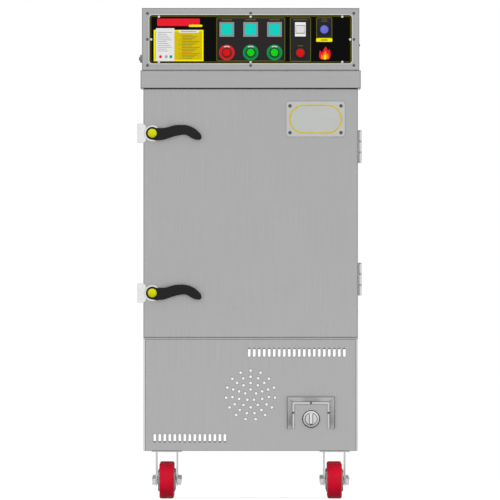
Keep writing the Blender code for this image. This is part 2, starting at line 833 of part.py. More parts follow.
def make_cabinet(mat):
    """Outer shell, fibre lining and steel chamber, one inside the other, open in front."""
    inner = HALF_WIDTH - SHEET
    shell = box(
        "cabinet_shell",
        (-HALF_WIDTH, CABINET_FRONT, CABINET_BOTTOM),
        (HALF_WIDTH, BACK, CABINET_TOP),
        mat["steel"],
    )
    room = box(
        "room",
        (-inner, CABINET_FRONT - OVERRUN, CABINET_BOTTOM + SHEET),
        (inner, BACK - SHEET, CABINET_TOP - SHEET),
    )
    cut(shell, room, tank_hole("hole", CABINET_BOTTOM, CABINET_BOTTOM + SHEET))

    flange_rear = CABINET_FRONT + SHEET
    fibre_side = inner - CLEAR
    fibre_low = CABINET_BOTTOM + SHEET + CLEAR
    fibre_high = CABINET_TOP - SHEET - CLEAR
    fibre = box(
        "cabinet_insulation",
        (-fibre_side, flange_rear + CLEAR, fibre_low),
        (fibre_side, BACK - SHEET - CLEAR, fibre_high),
        mat["fibre"],
    )
    hollow = box(
        "hollow",
        (-CHAMBER_SIDE - CLEAR, flange_rear - OVERRUN, CHAMBER_BOTTOM - CLEAR),
        (CHAMBER_SIDE + CLEAR, CHAMBER_REAR + CLEAR, CHAMBER_TOP + CLEAR),
    )
    cut(fibre, hollow, tank_hole("hole", fibre_low, CHAMBER_BOTTOM))

    liner = box(
        "chamber_liner",
        (-CHAMBER_SIDE, CABINET_FRONT, CHAMBER_BOTTOM),
        (CHAMBER_SIDE, CHAMBER_REAR, CHAMBER_TOP),
        mat["bright"],
    )
    flange = box(
        "flange",
        (-fibre_side, CABINET_FRONT, fibre_low),
        (fibre_side, flange_rear, fibre_high),
    )
    wall = CHAMBER_SIDE - SHEET
    chamber = box(
        "chamber",
        (-wall, CABINET_FRONT - OVERRUN, CHAMBER_FLOOR),
        (wall, CHAMBER_REAR - SHEET, CHAMBER_TOP - SHEET),
    )
    join(liner, flange)
    cut(liner, chamber, tank_hole("hole", CHAMBER_BOTTOM, CHAMBER_FLOOR))


def make_tank(mat):
    """The water tank: a deep pan that hangs by its lip from the chamber floor."""
    side = TANK_HALF_WIDTH
    depth = TANK_HALF_DEPTH
    lip_low = CHAMBER_FLOOR + CLEAR
    tank = box(
        "water_tank",
        (-side, CHAMBER_MIDDLE - depth, TANK_BOTTOM),
        (side, CHAMBER_MIDDLE + depth, TANK_TOP),
        mat["bright"],
    )
    lip = box(
        "lip",
        (-side - TANK_LIP, CHAMBER_MIDDLE - depth - TANK_LIP, lip_low),
        (side + TANK_LIP, CHAMBER_MIDDLE + depth + TANK_LIP, TANK_TOP),
    )
    water = box(
        "water",
        (SHEET - side, CHAMBER_MIDDLE - depth + SHEET, TANK_BOTTOM + SHEET),
        (side - SHEET, CHAMBER_MIDDLE + depth - SHEET, TANK_TOP + OVERRUN),
    )
    join(tank, lip)
    cut(tank, water)


def make_racks_and_trays(mat):
    """Two rail racks against the chamber's sides, and the pierced trays on their ledges."""
    wall = CHAMBER_SIDE - SHEET - CLEAR
    low = CHAMBER_FLOOR + RACK_UP
    top = CHAMBER_TOP - SHEET - RACK_TOP_GAP
    front = CABINET_FRONT + RACK_END_GAP
    rear = CHAMBER_REAR - RACK_END_GAP
    pitch = (top - low) / LEDGE_COUNT
    foot_low = CHAMBER_FLOOR + CLEAR
    levels = [low + pitch * step for step in range(LEDGE_COUNT)]
    for side, name in ((-1, "tray_rack_left"), (1, "tray_rack_right")):
        outer = side * wall
        reach = sorted((outer, outer - side * SHEET))
        rack = box(name, (reach[0], front, foot_low), (reach[1], rear, top), mat["bright"])
        for level in levels:
            reach = sorted((outer - side * BITE, outer - side * (SHEET + LEDGE_WIDTH)))
            join(rack, box("ledge", (reach[0], front, level - SHEET), (reach[1], rear, level)))
    half = wall - SHEET - TRAY_SIDE_CLEAR
    for step, level in enumerate(levels):
        make_tray("steam_tray_" + str(step + 1), half, level + CLEAR, mat)


def make_tray(name, half, low, mat):
    front = CABINET_FRONT + TRAY_FRONT_GAP
    rear = CHAMBER_REAR - SHEET - TRAY_REAR_GAP
    middle = (front + rear) / 2
    tray = box(name, (-half, front - middle, 0), (half, rear - middle, TRAY_HEIGHT), mat["bright"])
    tray.location.y += middle
    tray.location.z += low
    hollow = box(
        "hollow",
        (SHEET - half, front + SHEET, low + SHEET),
        (half - SHEET, rear - SHEET, low + TRAY_HEIGHT + OVERRUN),
    )
    holes = []
    for column in range(TRAY_HOLE_COLUMNS):
        for row in range(TRAY_HOLE_ROWS):
            x = half * (2 * column + 1 - TRAY_HOLE_COLUMNS) / TRAY_HOLE_COLUMNS
            y = (rear - front) / 2 * (2 * row + 1 - TRAY_HOLE_ROWS) / TRAY_HOLE_ROWS
            holes.append(circle_points((x, y), TRAY_HOLE_RADIUS, TUBE_SIDES))
    piercing = plate("piercing", holes, SHEET + 2 * OVERRUN, (0, middle, low), (0, 0, 0))
    cut(tray, hollow, piercing)


def make_top_cover(mat):
    """A shallow folded pan, its top open inside an inward lip."""
    half = HALF_WIDTH + COVER_SIDE_OVERHANG
    front = FRONT - COVER_SIDE_OVERHANG
    rear = BACK + HOUSING_SIDE_OVERHANG
    cover = box("top_cover", (-half, front, COVER_BOTTOM), (half, rear, COVER_TOP), mat["steel"])
    room = box(
        "room",
        (SHEET - half, front + SHEET, COVER_BOTTOM + SHEET),
        (half - SHEET, rear - SHEET, COVER_TOP - SHEET),
    )
    top = box(
        "top",
        (COVER_LIP - half, front + COVER_LIP, COVER_TOP - SHEET - OVERRUN),
        (half - COVER_LIP, rear - COVER_LIP, COVER_TOP + OVERRUN),
    )
    cut(cover, room, top)


def make_housing(mat):
    """The control housing, the fascia over its open front and the bezel round the fascia."""
    housing = box(
        "control_housing",
        (-HOUSING_HALF, HOUSING_FRONT, HOUSING_BOTTOM),
        (HOUSING_HALF, BACK, HOUSING_TOP),
        mat["steel"],
    )
    wall = HOUSING_HALF - SHEET
    room = box(
        "room",
        (-wall, HOUSING_FRONT + SHEET, HOUSING_BOTTOM + SHEET),
        (wall, BACK - SHEET, HOUSING_TOP - SHEET),
    )
    frame = HOUSING_FRONT_FRAME
    opening = box(
        "opening",
        (frame - HOUSING_HALF, HOUSING_FRONT - OVERRUN, HOUSING_BOTTOM + frame),
        (HOUSING_HALF - frame, HOUSING_FRONT + SHEET + OVERRUN, HOUSING_TOP - frame),
    )
    gland_place = (-HOUSING_HALF, GLAND_Y, GLAND_Z)
    gland_hole = cylinder(
        "gland_hole",
        gland_place,
        FACE_LEFT,
        GLAND_THREAD_RADIUS + CLEAR,
        -SHEET - OVERRUN,
        OVERRUN,
        sides=ROUND_SIDES,
    )
    cut(housing, room, opening, gland_hole)
    make_bezel(mat)
    make_fascia(mat)


GLAND_Y = HOUSING_FRONT + GLAND_SETBACK
GLAND_Z = HOUSING_BOTTOM + GLAND_UP
WINDOW_X = HOUSING_HALF - WINDOW_SIDE
WINDOW_BOTTOM = HOUSING_BOTTOM + WINDOW_LOW
WINDOW_TOP = HOUSING_TOP - WINDOW_HIGH


def make_bezel(mat):
    bezel_rear = FASCIA_REAR
    thickness = bezel_rear - BEZEL_FRONT
    outline = rectangle((-HOUSING_HALF, HOUSING_BOTTOM), (HOUSING_HALF, HOUSING_TOP))
    window = rounded_rectangle((-WINDOW_X, WINDOW_BOTTOM), (WINDOW_X, WINDOW_TOP), WINDOW_ROUND)
    bezel = front_plate("control_bezel", [outline, window], BEZEL_FRONT, thickness, mat["steel"])
    lap = FASCIA_LAP + CLEAR
    pocket = box(
        "pocket",
        (-WINDOW_X - lap, FASCIA_FRONT - CLEAR, WINDOW_BOTTOM - lap),
        (WINDOW_X + lap, bezel_rear + OVERRUN, WINDOW_TOP + lap),
    )
    cut(bezel, pocket)


def make_fascia(mat):
    low = (-WINDOW_X - FASCIA_LAP, WINDOW_BOTTOM - FASCIA_LAP)
    high = (WINDOW_X + FASCIA_LAP, WINDOW_TOP + FASCIA_LAP)
    outlines = [rectangle(low, high)]
    body = DISPLAY_BODY / 2 + CLEAR
    for x in CONTROL_ACROSS:
        outlines.append(rectangle((x - body, DISPLAY_Z - body), (x + body, DISPLAY_Z + body)))
        outlines.append(circle_points((x, BUTTON_Z), BUTTON_BARREL_RADIUS + CLEAR, ROUND_SIDES))
    half_width = SWITCH_WIDTH / 2 - SWITCH_SIDE_RIM + CLEAR
    half_height = SWITCH_HEIGHT / 2 - SWITCH_LIP + CLEAR
    outlines.append(
        rectangle(
            (SWITCH_ACROSS - half_width, SWITCH_Z - half_height),
            (SWITCH_ACROSS + half_width, SWITCH_Z + half_height),
        )
    )
    for x, z in LAMP_PLACES:
        outlines.append(circle_points((x, z), LAMP_BARREL_RADIUS + CLEAR, ROUND_SIDES))
    front_plate("control_fascia", outlines, FASCIA_FRONT, FASCIA_THICKNESS, mat["black"])


CONTROL_ACROSS = (-CONTROL_PITCH, 0, CONTROL_PITCH)
CONTROL_NAMES = ("left", "middle", "right")
DISPLAY_Z = HOUSING_BOTTOM + DISPLAY_UP
BUTTON_Z = HOUSING_BOTTOM + BUTTON_UP
SWITCH_Z = HOUSING_BOTTOM + SWITCH_UP
LAMP_PLACES = (
    (SWITCH_ACROSS, HOUSING_BOTTOM + RED_LAMP_UP),
    (BLUE_LAMP_ACROSS, HOUSING_BOTTOM + BLUE_LAMP_UP),
)
SEAT = FASCIA_FRONT - CLEAR


def make_controls(mat):
    for x, name in zip(CONTROL_ACROSS, CONTROL_NAMES):
        make_display("display_" + name, x, mat)
    legends = (mat["red"], mat["green"], mat["green"])
    for x, name, legend in zip(CONTROL_ACROSS, CONTROL_NAMES, legends):
        make_button(name, x, legend, mat)
    make_switch(mat)
    for (x, z), name, lens in zip(LAMP_PLACES, ("red", "blue"), (mat["red"], mat["blue"])):
        make_lamp("indicator_lamp_" + name, x, z, lens)
    make_gland(mat)


def make_display(name, x, mat):
    half = DISPLAY_SIZE / 2
    body = DISPLAY_BODY / 2
    display = box(
        name,
        (x - half, SEAT - DISPLAY_LIP, DISPLAY_Z - half),
        (x + half, SEAT, DISPLAY_Z + half),
        mat["grey"],
    )
    module = box(
        "module",
        (x - body, SEAT - BITE, DISPLAY_Z - body),
        (x + body, SEAT + DISPLAY_REACH, DISPLAY_Z + body),
    )
    screen = box(
        "screen",
        (x - SCREEN_WIDTH / 2, SEAT - DISPLAY_LIP - OVERRUN, DISPLAY_Z - SCREEN_HEIGHT / 2),
        (
            x + SCREEN_WIDTH / 2,
            SEAT - DISPLAY_LIP + SCREEN_RECESS,
            DISPLAY_Z + SCREEN_HEIGHT / 2,
        ),
    )
    join(display, module)
    cut(display, screen)


def make_button(name, x, legend, mat):
    """A push button: a holder with its legend disc and collar, and the cap that slides in it."""
    bore = CAP_RADIUS + CAP_BORE_CLEAR
    floor = COLLAR_HEIGHT + CAP_STAND - CAP_LENGTH - 2 * CAP_TRAVEL
    place = (x, SEAT, BUTTON_Z)
    holder = [
        (bore, COLLAR_HEIGHT),
        (COLLAR_RADIUS, COLLAR_HEIGHT),
        (COLLAR_RADIUS, LEGEND_THICKNESS),
        (LEGEND_RADIUS, LEGEND_THICKNESS),
        (LEGEND_RADIUS, 0),
        (BUTTON_BARREL_RADIUS, 0),
        (BUTTON_BARREL_RADIUS, -BUTTON_BARREL_LENGTH),
        (0, -BUTTON_BARREL_LENGTH),
    ]
    holder = [(0, floor), (bore, floor)] + holder
    turned("button_holder_" + name, holder, place, FACE_FRONT, legend)
    cap_top = COLLAR_HEIGHT + CAP_STAND
    cap = [
        (0, cap_top),
        (CAP_RADIUS - CAP_EDGE, cap_top),
        (CAP_RADIUS, cap_top - CAP_EDGE),
        (CAP_RADIUS, cap_top - CAP_LENGTH),
        (0, cap_top - CAP_LENGTH),
    ]
    turned("button_cap_" + name, cap, place, FACE_FRONT, legend)


def make_switch(mat):
    """A white frame and the rocker in it, which rests with its upper half pressed in."""
    half_width = SWITCH_WIDTH / 2
    half_height = SWITCH_HEIGHT / 2
    frame = box(
        "switch_frame",
        (SWITCH_ACROSS - half_width, SEAT - SWITCH_LIP, SWITCH_Z - half_height),
        (SWITCH_ACROSS + half_width, SEAT, SWITCH_Z + half_height),
        mat["white"],
    )
    body_width = half_width - SWITCH_SIDE_RIM
    body_height = half_height - SWITCH_LIP
    body = box(
        "body",
        (SWITCH_ACROSS - body_width, SEAT - BITE, SWITCH_Z - body_height),
        (SWITCH_ACROSS + body_width, SEAT + SWITCH_REACH, SWITCH_Z + body_height),
    )
    bay_width = body_width - SWITCH_WALL
    bay_height = half_height - SWITCH_RIM - SWITCH_WALL
    bay = box(
        "bay",
        (SWITCH_ACROSS - bay_width, SEAT - SWITCH_LIP - OVERRUN, SWITCH_Z - bay_height),
        (SWITCH_ACROSS + bay_width, SEAT + SWITCH_REACH - SHEET, SWITCH_Z + bay_height),
    )
    join(frame, body)
    cut(frame, bay)
    axis = (SWITCH_ACROSS, SEAT - SWITCH_LIP / 2, SWITCH_Z)
    rocker_half = bay_width - ROCKER_CLEAR
    rocker_height = bay_height - ROCKER_CLEAR - ROCKER_CLEAR
    rocker = box(
        "switch_rocker",
        (-rocker_half, -ROCKER_STAND, -rocker_height),
        (rocker_half, ROCKER_DEPTH, rocker_height),
        mat["white"],
        CAP_EDGE,
    )
    for vertex in rocker.data.vertices:
        vertex.co.y += (ROCKER_DEPTH - ROCKER_STAND) / 2
    rocker.location = axis
    rocker.rotation_euler = (-ROCKER_TILT, 0, 0)


def make_lamp(name, x, z, lens):
    profile = [
        (0, LAMP_LENS_HEIGHT),
        (LAMP_LENS_RADIUS / 2, LAMP_LENS_HEIGHT - CAP_EDGE / 2),
        (LAMP_LENS_RADIUS, LAMP_RING_HEIGHT),
        (LAMP_RING_RADIUS, LAMP_RING_HEIGHT),
        (LAMP_RING_RADIUS, 0),
        (LAMP_BARREL_RADIUS, 0),
        (LAMP_BARREL_RADIUS, -LAMP_BARREL_LENGTH),
        (0, -LAMP_BARREL_LENGTH),
    ]
    turned(name, profile, (x, SEAT, z), FACE_FRONT, lens)


def make_gland(mat):
    """The cable entry on the left side: a flange, a nub and a threaded tail through the wall."""
    tail = SHEET + GLAND_THREAD_RADIUS
    profile = [
        (0, GLAND_HEIGHT + GLAND_NUB_HEIGHT),
        (GLAND_NUB_RADIUS, GLAND_HEIGHT + GLAND_NUB_HEIGHT),
        (GLAND_NUB_RADIUS, GLAND_HEIGHT),
        (GLAND_RADIUS - CAP_EDGE, GLAND_HEIGHT),
        (GLAND_RADIUS, GLAND_HEIGHT - CAP_EDGE),
        (GLAND_RADIUS, 0),
        (GLAND_THREAD_RADIUS, 0),
        (GLAND_THREAD_RADIUS, -tail),
        (0, -tail),
    ]
    place = (-HOUSING_HALF - CLEAR, GLAND_Y, GLAND_Z)
    turned("cable_gland", profile, place, FACE_LEFT, mat["grey"])


def make_door(mat):
    """The door: an outer skin, a pan that closes its back, a seal ring and a bare nameplate."""
    inner = HALF_WIDTH - SHEET
    skin = box(
        "door_skin",
        (-HALF_WIDTH, FRONT, DOOR_BOTTOM),
        (HALF_WIDTH, DOOR_REAR, DOOR_TOP),
        mat["steel"],
    )
    room = box(
        "room",
        (-inner, FRONT + SHEET, DOOR_BOTTOM + SHEET),
        (inner, DOOR_REAR + OVERRUN, DOOR_TOP - SHEET),
    )
    cut(skin, room)

    side = inner - CLEAR
    low = DOOR_BOTTOM + SHEET + CLEAR
    high = DOOR_TOP - SHEET - CLEAR
    pan = box("door_pan", (-side, FRONT + SHEET + CLEAR, low), (side, DOOR_REAR, high), mat["bright"])
    hollow = box(
        "hollow",
        (SHEET - side, FRONT - OVERRUN, low + SHEET),
        (side - SHEET, DOOR_REAR - SHEET, high - SHEET),
    )
    cut(pan, hollow)

    outer = HALF_WIDTH - GASKET_INSET
    ring_low = DOOR_BOTTOM + GASKET_INSET
    ring_high = DOOR_TOP - GASKET_INSET
    bore = outer - GASKET_WIDTH
    outlines = [
        rounded_rectangle((-outer, ring_low), (outer, ring_high), GASKET_WIDTH),
        rounded_rectangle(
            (-bore, ring_low + GASKET_WIDTH), (bore, ring_high - GASKET_WIDTH), GASKET_WIDTH / 2
        ),
    ]
    gasket = front_plate(
        "door_gasket", outlines, DOOR_REAR + CLEAR, GASKET_THICKNESS, mat["rubber"]
    )

    across = HALF_WIDTH - PLATE_FROM_SIDE
    up = DOOR_TOP - PLATE_DOWN
    low = (across - PLATE_WIDTH / 2, up - PLATE_HEIGHT / 2)
    high = (across + PLATE_WIDTH / 2, up + PLATE_HEIGHT / 2)
    outline = rounded_rectangle(low, high, PLATE_ROUND)
    nameplate = front_plate(
        "nameplate", [outline], FRONT - CLEAR - PLATE_THICKNESS, PLATE_THICKNESS, mat["bright"]
    )
    return [skin, pan, gasket, nameplate]


def make_hinge(number, low, mat):
    """A lift-off hinge: cabinet leaf with two knuckles, door leaf with one, and their pin."""
    knuckle = (HINGE_HEIGHT - 2 * WASHER_HEIGHT) / 3
    first = (low, low + knuckle)
    second = (first[1] + WASHER_HEIGHT, first[1] + WASHER_HEIGHT + knuckle)
    third = (second[1] + WASHER_HEIGHT, low + HINGE_HEIGHT)
    inner = HALF_WIDTH + CLEAR
    outer = inner + LEAF_THICKNESS
    start = KNUCKLE_RADIUS + LEAF_BACKSET
    name = "_" + ("lower", "upper")[number]
    cabinet_leaf = box(
        "hinge_cabinet_leaf" + name,
        (inner, AXIS_Y + start, low),
        (outer, AXIS_Y + start + LEAF_WIDTH, low + HINGE_HEIGHT),
        mat["bright"],
    )
    door_leaf = box(
        "hinge_door_leaf" + name,
        (inner, AXIS_Y - start - LEAF_WIDTH, low),
        (outer, AXIS_Y - start, low + HINGE_HEIGHT),
        mat["bright"],
    )
    for leaf, side, spans in ((cabinet_leaf, 1, (first, third)), (door_leaf, -1, (second,))):
        for bottom, top in spans:
            bottom += CLEAR
            top -= CLEAR
            reach = sorted((AXIS_Y, AXIS_Y + side * (start + BITE)))
            place = (AXIS_X, AXIS_Y, 0)
            web = box("web", (inner, reach[0], bottom), (outer, reach[1], top))
            barrel = cylinder(
                "barrel", place, (0, 0, 0), KNUCKLE_RADIUS, bottom, top, sides=ROUND_SIDES
            )
            join(leaf, web, barrel)
            bore = PIN_RADIUS + KNUCKLE_BORE_CLEAR
            hole = cylinder(
                "hole", place, (0, 0, 0), bore, bottom - CLEAR, top + CLEAR, sides=SMALL_SIDES
            )
            cut(leaf, hole)
    profile = [
        (0, HINGE_HEIGHT + PIN_HEAD_HEIGHT),
        (KNUCKLE_RADIUS - CAP_EDGE, HINGE_HEIGHT + PIN_HEAD_HEIGHT),
        (KNUCKLE_RADIUS, HINGE_HEIGHT + PIN_HEAD_HEIGHT - CAP_EDGE),
        (KNUCKLE_RADIUS, HINGE_HEIGHT + CLEAR),
        (PIN_RADIUS, HINGE_HEIGHT + CLEAR),
    ]
    for bottom in (second[1] - low, first[1] - low):
        profile += [
            (PIN_RADIUS, bottom + WASHER_HEIGHT),
            (KNUCKLE_RADIUS, bottom + WASHER_HEIGHT),
            (KNUCKLE_RADIUS, bottom),
            (PIN_RADIUS, bottom),
        ]
    profile += [(PIN_RADIUS, 0), (0, 0)]
    turned(
        "hinge_pin" + name, profile, (AXIS_X, AXIS_Y, low), (0, 0, 0), mat["bright"], SMALL_SIDES
    )
    return door_leaf


PIVOT_X = LATCH_INSET - HALF_WIDTH
LATCH_SEAT = FRONT - CLEAR


def make_latch(number, height, door, mat):
    """A door latch: plate with its pivot, lever and cap on the door, keeper on the cabinet."""
    name = "_" + ("lower", "upper")[number]
    place = (PIVOT_X, LATCH_SEAT, height)
    body = make_latch_body("latch_body" + name, place, mat)
    lever = make_lever("latch_lever" + name, place, mat)
    hub_top = LATCH_RING_HEIGHT + LEVER_GAP + LEVER_HUB_HEIGHT
    cap_place = (place[0], LATCH_SEAT - hub_top - CLEAR, height)
    cap = turned(
        "latch_cap" + name,
        [(out * LATCH_CAP_RADIUS, up * LATCH_CAP_HEIGHT) for out, up in LATCH_CAP_SHARES],
        cap_place,
        FACE_FRONT,
        mat["yellow"],
        steps=ROUND_SIDES,
    )
    axis = pivot("latch_axis" + name, place)
    carry(axis, lever, cap)
    carry(door, body, axis)
    make_keeper("latch_keeper" + name, height, mat)


def make_latch_body(name, place, mat):
    height = place[2]
    half = WING_HEIGHT / 2
    left = -HALF_WIDTH - WING_REACH
    right = -HALF_WIDTH + WING_OVERLAP
    outline = [
        (left, height - half),
        (right - WING_CHAMFER, height - half),
        (right, height - half + WING_CHAMFER),
        (right, height + half - WING_CHAMFER),
        (right - WING_CHAMFER, height + half),
        (left, height + half),
    ]
    body = front_plate(name, [outline], LATCH_SEAT - WING_THICKNESS, WING_THICKNESS, mat["bright"])
    fold = box(
        "fold",
        (left, LATCH_SEAT - WING_THICKNESS, height - half + WING_CHAMFER),
        (left + SHEET, LATCH_SEAT + WING_RETURN, height + half - WING_CHAMFER),
    )
    ring = cylinder("ring", place, FACE_FRONT, LATCH_RING_RADIUS, 0, LATCH_RING_HEIGHT)
    post = cylinder(
        "post",
        place,
        FACE_FRONT,
        PIVOT_RADIUS,
        LATCH_RING_HEIGHT - BITE,
        LATCH_RING_HEIGHT + PIVOT_LENGTH,
        sides=ROUND_SIDES,
    )
    return join(body, fold, ring, post)


def make_lever(name, place, mat):
    height = place[2]
    rear = LATCH_SEAT - LATCH_RING_HEIGHT - LEVER_GAP
    outline = [
        (PIVOT_X + along * LEVER_LENGTH, height + across * LEVER_LENGTH)
        for along, across in flowing(LEVER_OUTLINE_SHARES, LEVER_SPAN_STEPS)
    ]
    lever = front_plate(
        name, [outline[::-1]], rear - LEVER_THICKNESS - LEVER_EDGE, LEVER_THICKNESS, mat["dark"]
    )
    soften(lever, LEVER_EDGE, 1)
    hub_place = (PIVOT_X, rear, height)
    hub = turned(
        "hub",
        [
            (0, LEVER_HUB_HEIGHT),
            (LEVER_HUB_RADIUS - LEVER_EDGE, LEVER_HUB_HEIGHT),
            (LEVER_HUB_RADIUS, LEVER_HUB_HEIGHT - LEVER_EDGE),
            (LEVER_HUB_RADIUS, 0),
            (0, 0),
        ],
        hub_place,
        FACE_FRONT,
    )
    bore = cylinder(
        "bore",
        hub_place,
        FACE_FRONT,
        PIVOT_RADIUS + PIVOT_CLEAR,
        -OVERRUN,
        PIVOT_LENGTH,
        sides=ROUND_SIDES,
    )
    join(lever, hub)
    cut(lever, bore)
    return lever


def make_keeper(name, height, mat):
    outer = -HALF_WIDTH - CLEAR
    front = CABINET_FRONT + CLEAR
    keeper = box(
        name,
        (outer - KEEPER_WIDTH, front, height - KEEPER_HEIGHT / 2),
        (outer, front + KEEPER_DEPTH, height + KEEPER_HEIGHT / 2),
        mat["bright"],
    )
    return soften(keeper, KEEPER_ROUND, 2)


def make_casters(mat):
    for across, side in ((-1, "left"), (1, "right")):
        for along, end in ((-1, "front"), (1, "rear")):
            name = "_" + end + "_" + side
            x = across * CASTER_ACROSS
            y = along * CASTER_ALONG
            make_bracket("caster_bracket" + name, x, y, mat)
            make_wheel("caster_wheel" + name, x, y, mat)


def make_bracket(name, x, y, mat):
    """A rigid caster's plate, its two fork legs, and the axle bolt through them."""
    top = CASTER_HEIGHT - CLEAR
    under = top - CASTER_SHEET
    half = CASTER_PLATE / 2
    bracket = box(name, (x - half, y - half, under), (x + half, y + half, top), mat["bright"])
    end = WHEEL_RADIUS - FORK_BELOW_AXLE
    outline = [
        (-FORK_TOP_WIDTH / 2, under + BITE),
        (-FORK_END_WIDTH / 2, WHEEL_RADIUS),
        (-FORK_TIP_WIDTH / 2, end),
        (FORK_TIP_WIDTH / 2, end),
        (FORK_END_WIDTH / 2, WHEEL_RADIUS),
        (FORK_TOP_WIDTH / 2, under + BITE),
    ]
    for side in (-1, 1):
        middle = x + side * (FORK_OUTER - CASTER_SHEET) / 2
        turn = (math.radians(90), 0, math.radians(90))
        leg = plate("leg", [outline], CASTER_SHEET, (middle, y, 0), turn)
        join(bracket, leg)
    place = (x, y, WHEEL_RADIUS)
    reach = AXLE_NUT_REACH
    face = FORK_OUTER / 2
    profile = [
        (0, reach),
        (AXLE_NUT_RADIUS - CAP_EDGE, reach),
        (AXLE_NUT_RADIUS, reach - CAP_EDGE),
        (AXLE_NUT_RADIUS, face - BITE),
        (AXLE_RADIUS, face - BITE),
        (AXLE_RADIUS, BITE - face),
        (AXLE_NUT_RADIUS, BITE - face),
        (AXLE_NUT_RADIUS, CAP_EDGE - reach),
        (AXLE_NUT_RADIUS - CAP_EDGE, -reach),
        (0, -reach),
    ]
    join(bracket, turned("axle", profile, place, FACE_RIGHT, steps=SMALL_SIDES))


def make_wheel(name, x, y, mat):
    half = TREAD_WIDTH / 2
    hub = half + HUB_PROUD
    bore = AXLE_RADIUS + AXLE_CLEAR
    nip = TREAD_EDGE * TREAD_EDGE_SHARE
    profile = [
        (bore, hub - HUB_DISH),
        (HUB_BOSS_RADIUS, hub),
        (HUB_RADIUS - HUB_DISH, hub),
        (HUB_RADIUS, hub - HUB_DISH),
        (HUB_RADIUS, half),
        (WHEEL_RADIUS - TREAD_EDGE, half),
        (WHEEL_RADIUS - nip, half - nip),
        (WHEEL_RADIUS, half - TREAD_EDGE),
    ]
    profile += [(radius, -height) for radius, height in reversed(profile)]
    turned(name, profile, (x, y, WHEEL_RADIUS), FACE_RIGHT, mat["tread"], closed=True)


def build():
    mat = make_materials()
    make_base(mat)
    make_gas_train(mat)
    make_cabinet(mat)
    make_tank(mat)
    make_racks_and_trays(mat)
    make_top_cover(mat)
    make_housing(mat)
    make_controls(mat)
    door = pivot("door_axis", (AXIS_X, AXIS_Y, DOOR_BOTTOM))
    carry(door, *make_door(mat))
    for number, up in enumerate(HINGE_PLACES):
        carry(door, make_hinge(number, up, mat))
    for number, up in enumerate(LATCH_PLACES):
        make_latch(number, up, door, mat)
    make_casters(mat)


clear_scene()
PARTS = new_collection("gas_steamer")
CUTTERS = new_collection("cutters")
build()
CUTTERS.hide_render = True
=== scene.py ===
# Looks of the gas steamer: finishes for every CAD piece, printed areas, screws and trim.
import math

import bmesh
import bpy
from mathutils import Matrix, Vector


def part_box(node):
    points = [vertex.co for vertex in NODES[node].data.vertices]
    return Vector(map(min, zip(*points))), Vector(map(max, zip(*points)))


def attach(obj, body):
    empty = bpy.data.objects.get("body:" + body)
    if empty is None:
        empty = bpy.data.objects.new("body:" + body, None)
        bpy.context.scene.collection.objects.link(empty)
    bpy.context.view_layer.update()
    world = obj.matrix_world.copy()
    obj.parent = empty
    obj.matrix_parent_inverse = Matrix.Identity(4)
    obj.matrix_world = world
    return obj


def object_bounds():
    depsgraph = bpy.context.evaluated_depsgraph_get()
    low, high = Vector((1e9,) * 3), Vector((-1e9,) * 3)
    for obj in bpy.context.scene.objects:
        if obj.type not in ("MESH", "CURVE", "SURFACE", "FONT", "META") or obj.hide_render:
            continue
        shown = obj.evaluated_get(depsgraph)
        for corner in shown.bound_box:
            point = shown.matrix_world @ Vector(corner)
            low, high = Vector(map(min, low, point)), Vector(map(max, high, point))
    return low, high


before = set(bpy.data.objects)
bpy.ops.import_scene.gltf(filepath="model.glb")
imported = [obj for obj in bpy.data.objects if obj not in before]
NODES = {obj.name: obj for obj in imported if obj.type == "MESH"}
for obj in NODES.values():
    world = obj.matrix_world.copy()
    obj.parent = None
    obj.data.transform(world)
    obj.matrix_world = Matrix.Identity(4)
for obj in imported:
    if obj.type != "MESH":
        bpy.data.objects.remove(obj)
cad_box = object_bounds()
LEVELS = ("lower", "upper")
SIDES = ("left", "middle", "right")
ENDS = ("front_left", "front_right", "rear_left", "rear_right")
FRONTWARD = (0, -1, 0)
MILLIMETRE = 0.001
ROUND_STEPS = 48

# Thickness of one printed layer, and the distances below which points are joined
PRINT = 0.08 * MILLIMETRE
WELD_GAP = 0.01 * MILLIMETRE
JOIN_GAP = 0.005 * MILLIMETRE

# Degrees up to which edges are shaded smooth, degrees from which they are rounded,
# and how strongly big faces keep their own normals
SMOOTH_ANGLE = 32
FACE_WEIGHT = 90
SOFTEN_ANGLE = 40
SOFTEN_SEGMENTS = 2

# Painted edge shade: how far a rounded normal agrees with the face's, from full shade to none
EDGE_AGREEMENT = (0.93, 0.996)
EDGE_SAMPLES = 8
EDGE_SHADE_COLOUR = (0.03, 0.03, 0.032)


def mm(*values):
    """Millimetres as metres: one value, or several as a tuple."""
    scaled = tuple(value * MILLIMETRE for value in values)
    return scaled if len(scaled) > 1 else scaled[0]
